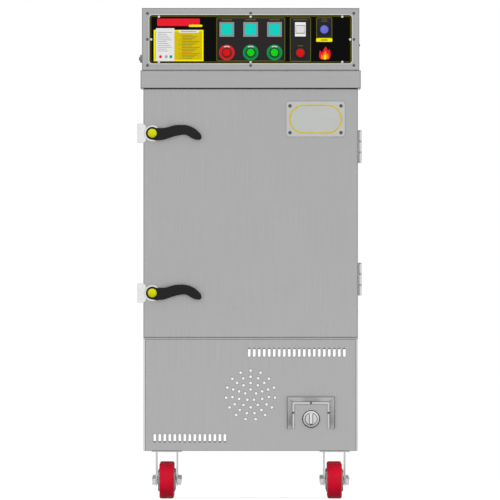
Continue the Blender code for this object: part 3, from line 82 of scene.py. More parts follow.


# Materials: every one has grain, wear or mottling from its nodes, and many have painted shade along
# their edges


class Nodes:
    """A short way to add and link shader nodes to one material."""

    def __init__(self, name):
        self.material = bpy.data.materials.new(name)
        self.material.use_nodes = True
        self.tree = self.material.node_tree
        self.shader = self.tree.nodes["Principled BSDF"]
        self.place = self.tree.nodes.new("ShaderNodeTexCoord").outputs["Object"]

    def link(self, source, target):
        self.tree.links.new(source, target)

    def stretch(self, scale):
        node = self.tree.nodes.new("ShaderNodeMapping")
        node.inputs["Scale"].default_value = scale
        self.link(self.place, node.inputs["Vector"])
        return node.outputs["Vector"]

    def noise(self, scale, detail=3, stretch=None, roughness=0.5):
        node = self.tree.nodes.new("ShaderNodeTexNoise")
        node.inputs["Scale"].default_value = scale
        node.inputs["Detail"].default_value = detail
        node.inputs["Roughness"].default_value = roughness
        self.link(self.stretch(stretch) if stretch else self.place, node.inputs["Vector"])
        return node.outputs["Fac"]

    def spread(self, value, low, high, from_low=0.3, from_high=0.7):
        node = self.tree.nodes.new("ShaderNodeMapRange")
        node.inputs["From Min"].default_value = from_low
        node.inputs["From Max"].default_value = from_high
        node.inputs["To Min"].default_value = low
        node.inputs["To Max"].default_value = high
        self.link(value, node.inputs["Value"])
        return node.outputs["Result"]

    def mix(self, factor, first, second):
        node = self.tree.nodes.new("ShaderNodeMix")
        node.data_type = "RGBA"
        for socket, value in ((node.inputs[6], first), (node.inputs[7], second)):
            if isinstance(value, tuple):
                socket.default_value = (*value, 1)
            else:
                self.link(value, socket)
        self.link(factor, node.inputs[0])
        return node.outputs[2]

    def bump(self, height, strength, distance):
        node = self.tree.nodes.new("ShaderNodeBump")
        node.inputs["Strength"].default_value = strength
        node.inputs["Distance"].default_value = distance
        self.link(height, node.inputs["Height"])
        self.link(node.outputs["Normal"], self.shader.inputs["Normal"])

    def edges(self, reach):
        """Near one along the piece's edges and nought on its flat faces."""
        rounded = self.tree.nodes.new("ShaderNodeBevel")
        rounded.samples = EDGE_SAMPLES
        rounded.inputs["Radius"].default_value = reach
        face = self.tree.nodes.new("ShaderNodeNewGeometry")
        agreement = self.tree.nodes.new("ShaderNodeVectorMath")
        agreement.operation = "DOT_PRODUCT"
        self.link(rounded.outputs["Normal"], agreement.inputs[0])
        self.link(face.outputs["True Normal"], agreement.inputs[1])
        return self.spread(agreement.outputs["Value"], 1, 0, *EDGE_AGREEMENT)

    def shade_edges(self, colour, reach, depth):
        """The colour, darkened by depth along the piece's edges: painted shade."""
        edge = self.edges(reach)
        return self.mix(self.spread(edge, 0, depth, 0, 1), colour, EDGE_SHADE_COLOUR)

    def finish(self, colour, roughness, **constants):
        self.link(colour, self.shader.inputs["Base Color"])
        self.link(roughness, self.shader.inputs["Roughness"])
        for name, value in constants.items():
            self.shader.inputs[name.replace("_", " ")].default_value = value
        return self.material


def shades(colour, change):
    """A darker and a lighter shade of a colour, each off by a share of it."""
    return tuple(max(0, part * (1 - change)) for part in colour), tuple(
        min(1, part * (1 + change)) for part in colour
    )


def brushed(name, colour, grain, rough=0.3, metal=0.9, edge_shade=0.82, reach=4.6):
    """Brushed sheet: fine lines along one axis, faint handling marks, and painted shade darkening its
    edges.
    """
    made = Nodes(name)
    lines = made.noise(1, 2, stretch=grain, roughness=0.6)
    clouds = made.noise(3.1, 3)
    marks = made.noise(26, 5, roughness=0.7)
    dark, light = shades(colour, 0.04)
    fine = made.mix(made.spread(lines, 0, 1), dark, light)
    smudge = tuple(part * 0.95 for part in colour)
    colours = made.mix(made.spread(clouds, 0, 0.45, 0.45, 0.75), fine, smudge)
    roughness = made.spread(marks, rough - 0.05, rough + 0.09)
    made.bump(lines, 0.04, mm(0.05))
    return made.finish(made.shade_edges(colours, mm(reach), edge_shade), roughness, Metallic=metal)


def plastic(name, colour, rough=0.35, grain=2200, coat=0.0, gloss=0.12, edge_shade=0.0):
    """Moulded plastic: fine texture, faint colour drift, slightly worn gloss, and painted shade along
    its edges if asked.
    """
    made = Nodes(name)
    texture = made.noise(grain, 2)
    drift = made.noise(19, 4)
    dark, light = shades(colour, 0.05)
    colours = made.mix(made.spread(drift, 0, 1), dark, light)
    if edge_shade:
        colours = made.shade_edges(colours, mm(1.4), edge_shade)
    roughness = made.spread(made.noise(60, 4), rough - 0.05, rough + 0.07)
    made.bump(texture, 0.08, mm(0.03))
    return made.finish(colours, roughness, Coat_Weight=coat, Specular_IOR_Level=gloss)


def printed(name, colour, rough=0.4):
    """Printed film: even ink with a faint screen texture."""
    made = Nodes(name)
    screen = made.noise(900, 2)
    dark, light = shades(colour, 0.03)
    colours = made.mix(made.spread(made.noise(40, 3), 0, 1), dark, light)
    roughness = made.spread(screen, rough - 0.04, rough + 0.05)
    made.bump(screen, 0.05, mm(0.02))
    return made.finish(colours, roughness, Specular_IOR_Level=0.06)


def lens(name, colour, glow=0.0, mottle=0.05):
    """A coloured lens with a faintly mottled inside and a clear gloss; it may glow."""
    made = Nodes(name)
    dark, light = shades(colour, mottle)
    colours = made.mix(made.spread(made.noise(150, 2), 0, 1), dark, light)
    roughness = made.spread(made.noise(80, 3), 0.12, 0.24)
    made.bump(made.noise(700, 1), 0.06, mm(0.05))
    constants = {"Coat_Weight": 0.04, "Specular_IOR_Level": 0.1}
    if glow:
        constants["Emission_Color"] = (*colour, 1)
        constants["Emission_Strength"] = glow
    return made.finish(colours, roughness, **constants)


def cast(name, colour, grain=500, rough=0.75, metal=0.4):
    """A lumpy surface, as of cast iron or pressed fibre."""
    made = Nodes(name)
    lumps = made.noise(grain, 5, roughness=0.7)
    dark, light = shades(colour, 0.3)
    colours = made.mix(made.spread(lumps, 0, 1), dark, light)
    made.bump(lumps, 0.4, mm(0.3))
    return made.finish(colours, made.spread(lumps, rough - 0.1, rough + 0.1), Metallic=metal)


def wheel_material(name, tread, hub, split):
    """A red tread outside the given radius about the axle, a pale moulded hub inside it."""
    made = Nodes(name)
    texture = made.noise(240, 4)
    scuffs = made.noise(34, 5, roughness=0.7)
    dark, light = shades(tread, 0.14)
    rolled = made.mix(made.spread(scuffs, 0, 1), dark, light)
    moulded = made.mix(made.spread(texture, 0, 1), *shades(hub, 0.07))
    value = made.place
    from_axle = (
        ("ABSOLUTE", None),
        ("SUBTRACT", (0, CASTER_AXLE_Y, CASTER_AXLE_Z)),
        ("MULTIPLY", (0, 1, 1)),
        ("LENGTH", None),
    )
    for operation, other in from_axle:
        step = made.tree.nodes.new("ShaderNodeVectorMath")
        step.operation = operation
        made.link(value, step.inputs[0])
        if other:
            step.inputs[1].default_value = other
        value = step.outputs["Value" if operation == "LENGTH" else "Vector"]
    inside = made.spread(value, 1, 0, split, split + mm(0.3))
    colours = made.mix(inside, rolled, moulded)
    made.bump(texture, 0.15, mm(0.1))
    return made.finish(colours, made.spread(scuffs, 0.42, 0.6), Specular_IOR_Level=0.14)


wheel_low, wheel_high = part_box("caster_wheel_rear_right")
CASTER_AXLE_Y = (wheel_low.y + wheel_high.y) / 2
CASTER_AXLE_Z = (wheel_low.z + wheel_high.z) / 2
WHEEL_HUB_RADIUS = mm(30.2)
GRAIN_UP = (600, 600, 6)
GRAIN_ACROSS = (6, 600, 600)
GRAIN_EVEN = (90, 90, 90)
GRAIN_FINE = (200, 200, 200)
STEEL = (0.41, 0.41, 0.412)
BRIGHT = (0.66, 0.66, 0.665)

# Every brushed finish, and each plastic one given a depth for its edges, has painted shade darkening
# along its edges
MATERIALS = {
    "sheet": brushed("sheet_steel", STEEL, GRAIN_UP),
    "sheet_across": brushed("sheet_steel_across", STEEL, GRAIN_ACROSS),
    "bright": brushed("bright_steel", BRIGHT, GRAIN_ACROSS, 0.24, edge_shade=0.55, reach=2.4),
    "plate": brushed("nameplate_steel", (0.52, 0.53, 0.515), GRAIN_ACROSS, 0.3, reach=2.6),
    # The guard's steel is made lighter than the body's as painted light, offsetting the shade its
    # splayed walls catch
    "guard": brushed("guard_steel", (0.56, 0.56, 0.56), GRAIN_ACROSS, 0.3, reach=2.4, edge_shade=0.75),
    # Dark line for painted shade along the guard's lip, bend and foot, and for its mitre joints
    "guard_line": plastic("guard_line", (0.1, 0.1, 0.1), 0.6),
    "chrome": brushed("chrome_steel", (0.78, 0.78, 0.785), GRAIN_EVEN, 0.16, 1, edge_shade=0.5, reach=1.8),
    "dark_screw": brushed("dark_screw", (0.10, 0.10, 0.11), GRAIN_EVEN, 0.32, edge_shade=0.4, reach=0.8),
    "bluish": brushed("washer", (0.38, 0.45, 0.6), GRAIN_EVEN, 0.3, edge_shade=0.4, reach=0.6),
    # The vent cloth glows though it is no lamp: painted light that keeps it bright behind the holes
    "mesh": lens("glowing_vent_mesh", (0.88, 0.88, 0.88), 0.4),
    "shell": brushed("base_shell_steel", STEEL, GRAIN_UP, edge_shade=0.5, reach=2.2),
    "panel": brushed("front_panel_steel", STEEL, GRAIN_UP, edge_shade=0.85, reach=2.8),
    "trim": brushed("trim_steel", BRIGHT, GRAIN_UP, 0.3, edge_shade=0.3, reach=0.6),
    "fascia": plastic("fascia_black", (0.002, 0.002, 0.002), 0.5, 1500, gloss=0.04),
    "grey": plastic("display_grey", (0.27, 0.27, 0.275), 0.42),
    "legend_red": plastic("legend_red", (0.74, 0.012, 0.02), 0.4),
    "legend_green": plastic("legend_green", (0.0, 0.30, 0.075), 0.4),
    # The button caps' faint glow is painted light: the caps are no lamps
    "cap_red": lens("cap_red", (0.655, 0.0, 0.0), 0.06),
    "cap_green": lens("cap_green", (0.0, 0.6, 0.0), 0.04),
    "white": plastic("switch_white", (0.83, 0.83, 0.83), 0.3),
    "rocker": plastic("rocker_white", (0.67, 0.67, 0.67), 0.3),
    "lamp_red": lens("lamp_red", (0.63, 0.0, 0.0), 0.12),
    "lamp_blue": lens("lamp_blue", (0.14, 0.14, 0.63), 0.12),
    "screen": lens("screen_cyan", (0.0, 0.56, 0.465), 0.1, 0.02),
    "black": plastic("black_plastic", (0.015, 0.015, 0.015), 0.42, 1400, gloss=0.1, edge_shade=0.7),
    "ring": plastic("dark_ring", (0.012, 0.03, 0.028), 0.35),
    "yellow": plastic("cap_yellow", (0.66, 0.67, 0.0), 0.3, 1800, gloss=0.15),
    "rubber": plastic("seal_rubber", (0.02, 0.02, 0.02), 0.7, 700),
    "knob_white": plastic("knob_white", (0.82, 0.82, 0.82), 0.4, edge_shade=0.8),
    "brass": brushed("gas_brass", (0.63, 0.43, 0.14), GRAIN_FINE, 0.33),
    "iron": cast("burner_iron", (0.05, 0.05, 0.052)),
    "fibre": cast("fibre_lining", (0.6, 0.56, 0.42), 90, 0.95, 0),
    "wheel": wheel_material(
        "caster_wheel", (0.68, 0.003, 0.026), (0.4, 0.46, 0.42), WHEEL_HUB_RADIUS
    ),
    "olive": printed("print_olive", (0.1, 0.094, 0.004)),
    "panel_grey": printed("print_panel_grey", (0.021, 0.019, 0.019)),
    "navy": printed("print_navy", (0.006, 0.005, 0.05)),
    "print_yellow": printed("print_yellow", (0.95, 0.86, 0.0)),
    "card_yellow": printed("print_card", (0.66, 0.5, 0.0)),
    "print_red": printed("print_red", (0.82, 0.01, 0.025)),
    "print_white": printed("print_white", (0.78, 0.78, 0.78)),
    "print_line": printed("print_line", (0.2, 0.17, 0.02)),
    "print_orange": printed("print_orange", (0.87, 0.24, 0.0)),
    "print_halo": printed("print_halo", (0.5, 0.51, 0.68)),
    "print_grey_line": printed("print_grey_line", (0.38, 0.38, 0.41)),
    "outline_yellow": printed("outline_yellow", (0.63, 0.52, 0.0)),
}

# Finish of each CAD node: material name, and the width of its rounded edges in millimetres
FINISHES = {
    "base_shell": ("shell", 0.8),
    "base_front_panel": ("panel", 0.0),
    "cabinet_shell": ("sheet", 0.8),
    "cabinet_insulation": ("fibre", 0.0),
    "chamber_liner": ("bright", 0.6),
    "water_tank": ("bright", 0.6),
    "top_cover": ("sheet_across", 0.8),
    "control_housing": ("sheet_across", 0.8),
    "control_bezel": ("sheet_across", 0.7),
    "control_fascia": ("fascia", 0.0),
    "switch_frame": ("white", 0.7),
    "switch_rocker": ("rocker", 0.0),
    "indicator_lamp_red": ("lamp_red", 0.5),
    "indicator_lamp_blue": ("lamp_blue", 0.5),
    "cable_gland": ("grey", 0.4),
    "tray_rack_left": ("bright", 0.5),
    "tray_rack_right": ("bright", 0.5),
    "burner": ("iron", 0.0),
    "gas_valve": ("brass", 0.5),
    "gas_knob": ("knob_white", 0.6),
    "gas_supply_pipe": ("brass", 0.3),
    "knob_guard": ("guard", 0.5),
    "door_skin": ("sheet", 1.0),
    "door_pan": ("bright", 0.6),
    "door_gasket": ("rubber", 1.5),
    "nameplate": ("plate", 0.4),
}
for level in LEVELS:
    FINISHES["hinge_cabinet_leaf_" + level] = ("bright", 0.4)
    FINISHES["hinge_door_leaf_" + level] = ("bright", 0.4)
    FINISHES["hinge_pin_" + level] = ("bluish", 0.0)
    FINISHES["latch_body_" + level] = ("chrome", 0.7)
    FINISHES["latch_keeper_" + level] = ("bright", 0.0)
    FINISHES["latch_lever_" + level] = ("black", 0.8)
    FINISHES["latch_cap_" + level] = ("yellow", 0.0)
for side, legend, cap in zip(
    SIDES, ("legend_red", "legend_green", "legend_green"), ("cap_red", "cap_green", "cap_green")
):
    FINISHES["display_" + side] = ("grey", 0.7)
    FINISHES["button_holder_" + side] = (legend, 0.3)
    FINISHES["button_cap_" + side] = (cap, 0.0)
for end in ENDS:
    FINISHES["caster_bracket_" + end] = ("bright", 0.6)
    FINISHES["caster_wheel_" + end] = ("wheel", 0.0)
for number in (1, 2, 3):
    FINISHES[f"steam_tray_{number}"] = ("bright", 0.5)


def dress_nodes():
    """Gives each CAD node its finish, its smooth shading and its softened edges."""
    for name, (finish, edge) in FINISHES.items():
        node = NODES[name]
        node.data.materials.clear()
        node.data.materials.append(MATERIALS[finish])
        weld = node.modifiers.new("weld", "WELD")
        weld.merge_threshold = WELD_GAP
        if edge:
            soften(node, mm(edge))
        smooth(node)
        flatten = node.modifiers.new("flat_faces", "WEIGHTED_NORMAL")
        flatten.keep_sharp = True
        flatten.weight = FACE_WEIGHT


def soften(obj, width):
    """Rounds a piece's sharp edges."""
    bevel = obj.modifiers.new("soften", "BEVEL")
    bevel.width = width
    bevel.segments = SOFTEN_SEGMENTS
    bevel.limit_method = "ANGLE"
    bevel.angle_limit = math.radians(SOFTEN_ANGLE)


def smooth(obj):
    """Smooth shading with sharp edges kept, by a modifier after the welding."""
    obj.data.shade_smooth()
    modifier = obj.modifiers.new("smooth_by_angle", "NODES")
    modifier.node_group = smooth_group(SMOOTH_ANGLE)


def smooth_group(angle):
    """The node group that smooths every edge up to the angle, made once."""
    name = f"smooth_by_{angle}"
    if name in bpy.data.node_groups:
        return bpy.data.node_groups[name]
    group = bpy.data.node_groups.new(name, "GeometryNodeTree")
    group.interface.new_socket("Geometry", in_out="INPUT", socket_type="NodeSocketGeometry")
    group.interface.new_socket("Geometry", in_out="OUTPUT", socket_type="NodeSocketGeometry")
    start = group.nodes.new("NodeGroupInput")
    end = group.nodes.new("NodeGroupOutput")
    turn = group.nodes.new("GeometryNodeInputMeshEdgeAngle")
    flat = group.nodes.new("FunctionNodeCompare")
    flat.data_type = "FLOAT"
    flat.operation = "LESS_EQUAL"
    flat.inputs["B"].default_value = math.radians(angle)
    edges = group.nodes.new("GeometryNodeSetShadeSmooth")
    edges.domain = "EDGE"
    group.links.new(turn.outputs["Unsigned Angle"], flat.inputs["A"])
    group.links.new(flat.outputs["Result"], edges.inputs["Shade Smooth"])
    group.links.new(start.outputs[0], edges.inputs["Geometry"])
    group.links.new(edges.outputs["Geometry"], end.inputs[0])
    return group


# Shapes in the front view: outlines are in world x and z, and the thickness comes forward


def round_outline(x_low, x_high, z_low, z_high, radius, steps=6):
    """A rectangle with round corners."""
    points = []
    corners = (
        (x_high - radius, z_high - radius),
        (x_low + radius, z_high - radius),
        (x_low + radius, z_low + radius),
        (x_high - radius, z_low + radius),
    )
    for quarter, (x, z) in enumerate(corners):
        for step in range(steps + 1):
            angle = math.pi / 2 * (quarter + step / steps)
            points.append((x + radius * math.cos(angle), z + radius * math.sin(angle)))
    return points


def slab(name, outlines, rear, thickness, material, body="cabinet", edge=0):
    """A flat piece facing the front, its rear face at y = rear, riding on a body."""
    curve = bpy.data.curves.new(name, "CURVE")
    curve.dimensions = "2D"
    curve.fill_mode = "BOTH"
    curve.extrude = thickness / 2 - edge
    curve.bevel_depth = edge
    curve.bevel_resolution = 2 if edge else 0
    if edge:
        curve.offset = -edge
    for outline in outlines:
        spline = curve.splines.new("POLY")
        spline.points.add(len(outline) - 1)
        spline.use_cyclic_u = True
        for point, (x, z) in zip(spline.points, outline):
            point.co = (x, z, 0, 1)
    upright_turn = (math.radians(90), 0, 0)
    mesh = curve_mesh(curve, (0, rear - thickness / 2, 0), upright_turn)
    piece(name, mesh, material, body)


def curve_mesh(curve, place=(0, 0, 0), turn=(0, 0, 0)):
    """A curve as a mesh in world places."""
    drawn = bpy.data.objects.new(curve.name + "_drawn", curve)
    drawn.location = place
    drawn.rotation_euler = turn
    bpy.context.scene.collection.objects.link(drawn)
    bpy.context.view_layer.update()
    shape = drawn.evaluated_get(bpy.context.evaluated_depsgraph_get())
    mesh = bpy.data.meshes.new_from_object(shape)
    mesh.transform(drawn.matrix_world)
    bpy.data.objects.remove(drawn)
    return mesh


def piece(name, mesh, material, body):
    """A mesh in world places becomes a piece of the object that rides on a body."""
    made = bpy.data.objects.new(name, mesh)
    bpy.context.scene.collection.objects.link(made)
    work = bmesh.new()
    work.from_mesh(mesh)
    bmesh.ops.remove_doubles(work, verts=work.verts, dist=JOIN_GAP)
    bmesh.ops.recalc_face_normals(work, faces=work.faces)
    work.to_mesh(mesh)
    work.free()
    mesh.materials.clear()
    mesh.materials.append(MATERIALS[material])
    smooth(made)
    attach(made, body)


def wire(name, points, radius, material, body="cabinet"):
    """A thin round line through the points, riding on a body."""
    curve = bpy.data.curves.new(name, "CURVE")
    curve.dimensions = "3D"
    curve.bevel_depth = radius
    curve.bevel_resolution = 1
    curve.use_fill_caps = True
    spline = curve.splines.new("POLY")
    spline.points.add(len(points) - 1)
    for point, place in zip(spline.points, points):
        point.co = (*place, 1)
    piece(name, curve_mesh(curve), material, body)


def turned(name, profile, place, towards, material, body="cabinet", steps=ROUND_STEPS):
    """A profile of (radius, height) spun about an axis that points along towards."""
    work = bmesh.new()
    ring = [work.verts.new((radius, 0, height)) for radius, height in profile]
    edges = [work.edges.new(pair) for pair in zip(ring, ring[1:])]
    bmesh.ops.spin(
        work,
        geom=ring + edges,
        cent=(0, 0, 0),
        axis=(0, 0, 1),
        angle=math.tau,
        steps=steps,
        use_merge=True,
    )
    turn = Vector(towards).to_track_quat("Z", "Y").to_matrix().to_4x4()
    turn.translation = Vector(place)
    bmesh.ops.transform(work, matrix=turn, verts=work.verts)
    mesh = bpy.data.meshes.new(name)
    work.to_mesh(mesh)
    work.free()
    piece(name, mesh, material, body)


def profile(*pairs):
    """Points of a turned shape, in millimetres: how far from the axis, how high along it."""
    return tuple(mm(*pair) for pair in pairs)


def dome_profile(radius, height, steps=6):
    """From the crown down to the rim and back to the axis, slightly sunk at its foot."""
    points = []
    for step in range(steps + 1):
        angle = math.pi / 2 * step / steps
        points.append((radius * math.sin(angle), height * math.cos(angle)))
    return points + [(radius, -PRINT), (0, -PRINT)]


# The printed fascia: places are across from the middle and up from the bezel's foot

FASCIA_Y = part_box("control_fascia")[0].y
bezel_low, bezel_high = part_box("control_bezel")
WINDOW = (-mm(283), mm(283), bezel_low.z + mm(19.5), bezel_high.z - mm(19.7))


def above(up):
    return bezel_low.z + mm(up)


def area(x_low, x_high, up_low, up_high):
    """The limits of an area, given in millimetres."""
    return mm(x_low), mm(x_high), above(up_low), above(up_high)


def across(node):
    """The middle of a node in x."""
    low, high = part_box(node)
    return (low.x + high.x) / 2


def upright(node):
    """The middle of a node in z."""
    low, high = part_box(node)
    return (low.z + high.z) / 2


def flat(name, limits, radius, layer, material, hole=0.0):
    """A printed rectangle on the fascia at a layer of the print; a hole leaves only a line."""
    x_low, x_high, z_low, z_high = limits
    outlines = [round_outline(x_low, x_high, z_low, z_high, max(radius, mm(0.2)))]
    if hole:
        inner = max(radius - hole, mm(0.2))
        outlines.append(
            round_outline(x_low + hole, x_high - hole, z_low + hole, z_high - hole, inner)
        )
    slab(name, outlines, FASCIA_Y - layer * PRINT, PRINT, material)


def inset(limits, amount):
    x_low, x_high, z_low, z_high = limits
    return x_low + amount, x_high - amount, z_low + amount, z_high - amount


def group_box(name, limits, radius=mm(5)):
    """A grey field in a navy edge in an olive line, round a group of controls."""
    flat(name + "_line", limits, radius, 0, "olive", mm(2.6))
    flat(name + "_edge", inset(limits, mm(2.6)), radius - mm(2.6), 0, "navy", mm(2))
    flat(name + "_field", inset(limits, mm(4.6)), mm(0.6), 0, "panel_grey")


BAR_ROUNDING = 0.45


def bar(name, middle, up, width, height, layer, material):
    """A plain round-ended printed bar."""
    limits = (middle - width / 2, middle + width / 2, up - height / 2, up + height / 2)
    flat(name, limits, height * BAR_ROUNDING, layer, material)


GROUP_BOXES = {
    "timer_box": area(-96, 96.6, 25.2, 148),
    "switch_box": area(109.8, 168.8, 24.1, 148.4),
    "lamp_box": area(183.3, 228.4, 89.8, 148.4),
}

# Heading bars: name, the control below, and in millimetres the place up, width and height
HEADINGS = (
    ("left", "display_left", 141.5, 30, 3.4),
    ("middle", "display_middle", 141.5, 30, 3.4),
    ("right", "display_right", 141.5, 30, 3.4),
    ("switch", "switch_frame", 141.8, 40, 3.2),
    ("alarm", "switch_frame", 68.5, 16, 3),
    ("lamp", "indicator_lamp_blue", 142.6, 14, 2.6),
    ("lamp_low", "indicator_lamp_blue", 137.4, 18, 2.6),
)


def make_fascia_print():
    """Border line, the boxes round the controls, plain heading bars and the instruction cards."""
    flat("fascia_border", inset(WINDOW, mm(2.6)), mm(6), 0, "olive", mm(2))
    for name, limits in GROUP_BOXES.items():
        group_box(name, limits)
    for name, control, up, width, height in HEADINGS:
        size = mm(width, height)
        bar("heading_bar_" + name, across(control), above(up), *size, 1, "olive")
    flat("lamp_strip", area(183.3, 228.4, 79.7, 89.8), mm(2.5), 0, "print_yellow")
    lamp = across("indicator_lamp_blue")
    bar("lamp_strip_bar", lamp, above(84.7), mm(20), mm(3), 1, "print_line")
    make_title_and_cards()
    make_ember()


CARD_ROWS = 16
CARD_HEADING_ROWS = (0, 11)
NOTE_ROWS = 11
NOTE_BLOCKS = ((-252, "print_red"), (-236, "print_grey_line"), (-223, "legend_green"))


def make_title_and_cards():
    """The red title field, and two cards with rows of plain bars."""
    flat("title_field", area(-261.4, -142.2, 123.9, 144.6), mm(3), 0, "print_red")
    flat("title_tag", area(-173, -135, 121.5, 127.5), mm(2.8), 1, "print_yellow")
    card = area(-271, -132, 25.5, 113)
    flat("card_margin", card, mm(0.5), 0, "print_yellow")
    flat("card_field", inset(card, mm(4)), mm(0.5), 1, "card_yellow")
    flat("card_heading", area(-201, -145, 105, 112.5), mm(2), 2, "print_white")
    bar("card_heading_bar", mm(-173), above(108.7), mm(44), mm(2.6), 3, "print_grey_line")
    flat("note_field", area(-264.7, -213.3, 25.5, 117.8), mm(0.5), 2, "print_white")
    for row in range(CARD_ROWS):
        up = above(98) - row * mm(4.3)
        heading = row in CARD_HEADING_ROWS
        width = mm(30) if heading else mm(50 - 7 * ((row * 5) % 4))
        material = "print_red" if heading else "print_line"
        bar(f"card_line_{row}", mm(-193) + width / 2, up, width, mm(1.5), 2, material)
        if row % 3 == 0:
            bar(f"card_mark_{row}", mm(-198), up, mm(3), mm(2), 2, material)
    for row in range(NOTE_ROWS):
        up = above(106) - row * mm(5.2)
        width = mm(40 - 5 * ((row * 3) % 4))
        bar(f"note_line_{row}", mm(-260) + width / 2, up, width, mm(1.6), 3, "print_grey_line")
    for number, (x, material) in enumerate(NOTE_BLOCKS):
        bar(f"note_block_{number}", mm(x), above(38), mm(8), mm(9), 3, material)


def tongue_outline(x, z, width, height, lean, steps=28):
    """A pointed tongue of fire on a round foot, its tip moved sideways by lean."""
    points = []
    for step in range(steps):
        angle = math.tau * step / steps
        share = (1 - math.cos(angle)) / 2
        half = width / 2 * math.sin(angle) * math.sin(angle / 2)
        points.append((x - half + lean * (1 - share) ** 2, z + height * (1 - share)))
    return points


# Tongues of the fire sign, in millimetres from its foot: across, up, width, height, lean, layer
TONGUES = (
    (0, 0, 25, 38, 3, 0, "print_red"),
    (-8.5, 1.5, 17, 25, -5, 1, "print_red"),
    (9, 1.5, 17, 29, 4, 2, "print_red"),
    (0, 0.8, 17, 25, 2, 3, "print_orange"),
    (-6.5, 2, 9, 13, -3, 4, "print_orange"),
    (7, 2, 9, 16, 2, 4, "print_orange"),
    (0.5, 1.5, 10, 14, 1, 5, "print_yellow"),
)


def make_ember():
    """Plain nested tongues in red, orange and yellow, as a generic sign for fire."""
    middle = mm(207.4)
    foot = above(29)
    for number, (across_by, up_by, width, height, lean, layer, material) in enumerate(TONGUES):
        x, z = middle + mm(across_by), foot + mm(up_by)
        outline = tongue_outline(x, z, *mm(width, height, lean))
        slab(f"fire_sign_{number}", [outline], FASCIA_Y - layer * PRINT, PRINT, material)


# Screws, trim and small fittings: turned shapes, and the guard's lines inset from its outline

BUTTON_COLLAR = profile(
    (10.95, 7.1), (11.3, 7.6), (13.2, 7.6), (13.75, 7), (13.75, 1.6), (10.95, 1.6), (10.95, 7.1)
)
LAMP_RING = profile((11.6, 4), (12, 4.6), (13.8, 4.6), (14.4, 4), (14.4, 0), (11.6, 0), (11.6, 4))
WHEEL_CAP = profile((7, 0.9), (13, 0.9), (14, 0), (14, -1), (7, -1), (7, 0.9))
GUARD_LIP, GUARD_BEND, GUARD_FOOT = mm(0.6, 14.5, 21.3)
GUARD_RIVETS = ((0, 72.2), (-49.25, 44.7), (49.25, 44.7))
NAMEPLATE_SCREWS = ((11.5, 87), (154.1, 87), (11.5, 12.1), (154.1, 12.1))


def screw_head(name, x, z, rear, radius, height, material, body="cabinet"):
    """A low dome that faces the front."""
    turned(name, dome_profile(radius, height), (x, rear, z), FRONTWARD, material, body, 24)


def make_housing_screws():
    """Dark screws round the bezel and bright ones round the fascia."""
    base = bezel_low.z
    places = [(side * mm(288.5), up) for side in (-1, 1) for up in (mm(13.7), mm(86.4), mm(159.2))]
    places += [(0, mm(13.7)), (0, mm(159.2))]
    for number, (x, up) in enumerate(places):
        screw_head(f"bezel_screw_{number}", x, base + up, bezel_low.y, mm(4), mm(2.4), "dark_screw")
    inner = [(x, up) for x in (mm(-256.6), 0, mm(256.3)) for up in (mm(23.2), mm(150.2))]
    inner += [(mm(-278.6), mm(86.4)), (mm(278.6), mm(86.4))]
    for number, (x, up) in enumerate(inner):
        screw_head(f"fascia_screw_{number}", x, base + up, FASCIA_Y - PRINT, mm(4), mm(2.6), "bright")


def make_window_trim():
    """The bright rolled edge round the fascia's window."""
    x_low, x_high, z_low, z_high = WINDOW
    wide = mm(2.4)
    outlines = [
        round_outline(x_low - wide, x_high + wide, z_low - wide, z_high + wide, mm(10)),
        round_outline(x_low, x_high, z_low, z_high, mm(8)),
    ]
    slab("window_trim", outlines, bezel_low.y + mm(0.2), mm(0.9), "trim", edge=mm(0.4))


def make_control_details():
    """Screens, the rings round buttons and lamps, the legends' arcs and the side's small plug."""
    for side in SIDES:
        make_screen(side)
    for side in SIDES:
        x, z = across("button_holder_" + side), upright("button_holder_" + side)
        place = (x, FASCIA_Y - mm(0.3), z)
        turned("button_collar_" + side, BUTTON_COLLAR, place, FRONTWARD, "ring")
        arc_bar("legend_arc_" + side, x, z)
    for name in ("red", "blue"):
        x, z = across("indicator_lamp_" + name), upright("indicator_lamp_" + name)
        place = (x, FASCIA_Y - mm(0.25), z)
        turned("lamp_ring_" + name, LAMP_RING, place, FRONTWARD, "ring")
    low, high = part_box("control_housing")
    place = (high.x, low.y + mm(60), low.z + mm(70.5))
    turned("side_plug", dome_profile(mm(3.4), mm(2.5)), place, (1, 0, 0), "black", steps=24)


def make_screen(side):
    """The lit screen in a display's window."""
    low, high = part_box("display_" + side)
    middle_x, middle_z = (low.x + high.x) / 2, (low.z + high.z) / 2
    half_x, half_z = mm(15.8), mm(15.3)
    outline = round_outline(
        middle_x - half_x, middle_x + half_x, middle_z - half_z, middle_z + half_z, mm(1)
    )
    slab("screen_" + side, [outline], low.y + mm(1), mm(0.7), "screen", edge=mm(0.2))


def arc_bar(name, x, z):
    """A short pale arc at the top of a legend disc."""
    outline = []
    inner, outer, half = mm(16.2), mm(18.6), math.radians(26)
    steps = 8
    for radius, order in ((outer, 1), (inner, -1)):
        for step in range(steps + 1):
            angle = math.pi / 2 + order * half * (2 * step / steps - 1)
            outline.append((x + radius * math.cos(angle), z + radius * math.sin(angle)))
    slab(name, [outline], FASCIA_Y - mm(1.8), PRINT, "print_white")


def make_nameplate_details():
    """The nameplate's yellow line in its pale halo, and its four screws."""
    low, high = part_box("nameplate")
    field = (low.x + mm(8.9), low.x + mm(157.2), low.z + mm(9), low.z + mm(91))
    rings = (
        ("halo", 0, mm(8.6), 0, "print_halo"),
        ("outline", mm(2), mm(4.7), 1, "outline_yellow"),
    )
    for name, start, wide, layer, material in rings:
        outlines = [
            round_outline(*inset(field, reach), mm(40.9) - reach, 16)
            for reach in (start - mm(2), start - mm(2) + wide)
        ]
        slab("nameplate_" + name, outlines, low.y - layer * PRINT, PRINT, material, "door")
    for number, (dx, up) in enumerate(NAMEPLATE_SCREWS):
        x, z = low.x + mm(dx), low.z + mm(up)
        name = f"nameplate_screw_{number}"
        screw_head(name, x, z, low.y, mm(5), mm(2.4), "dark_screw", "door")


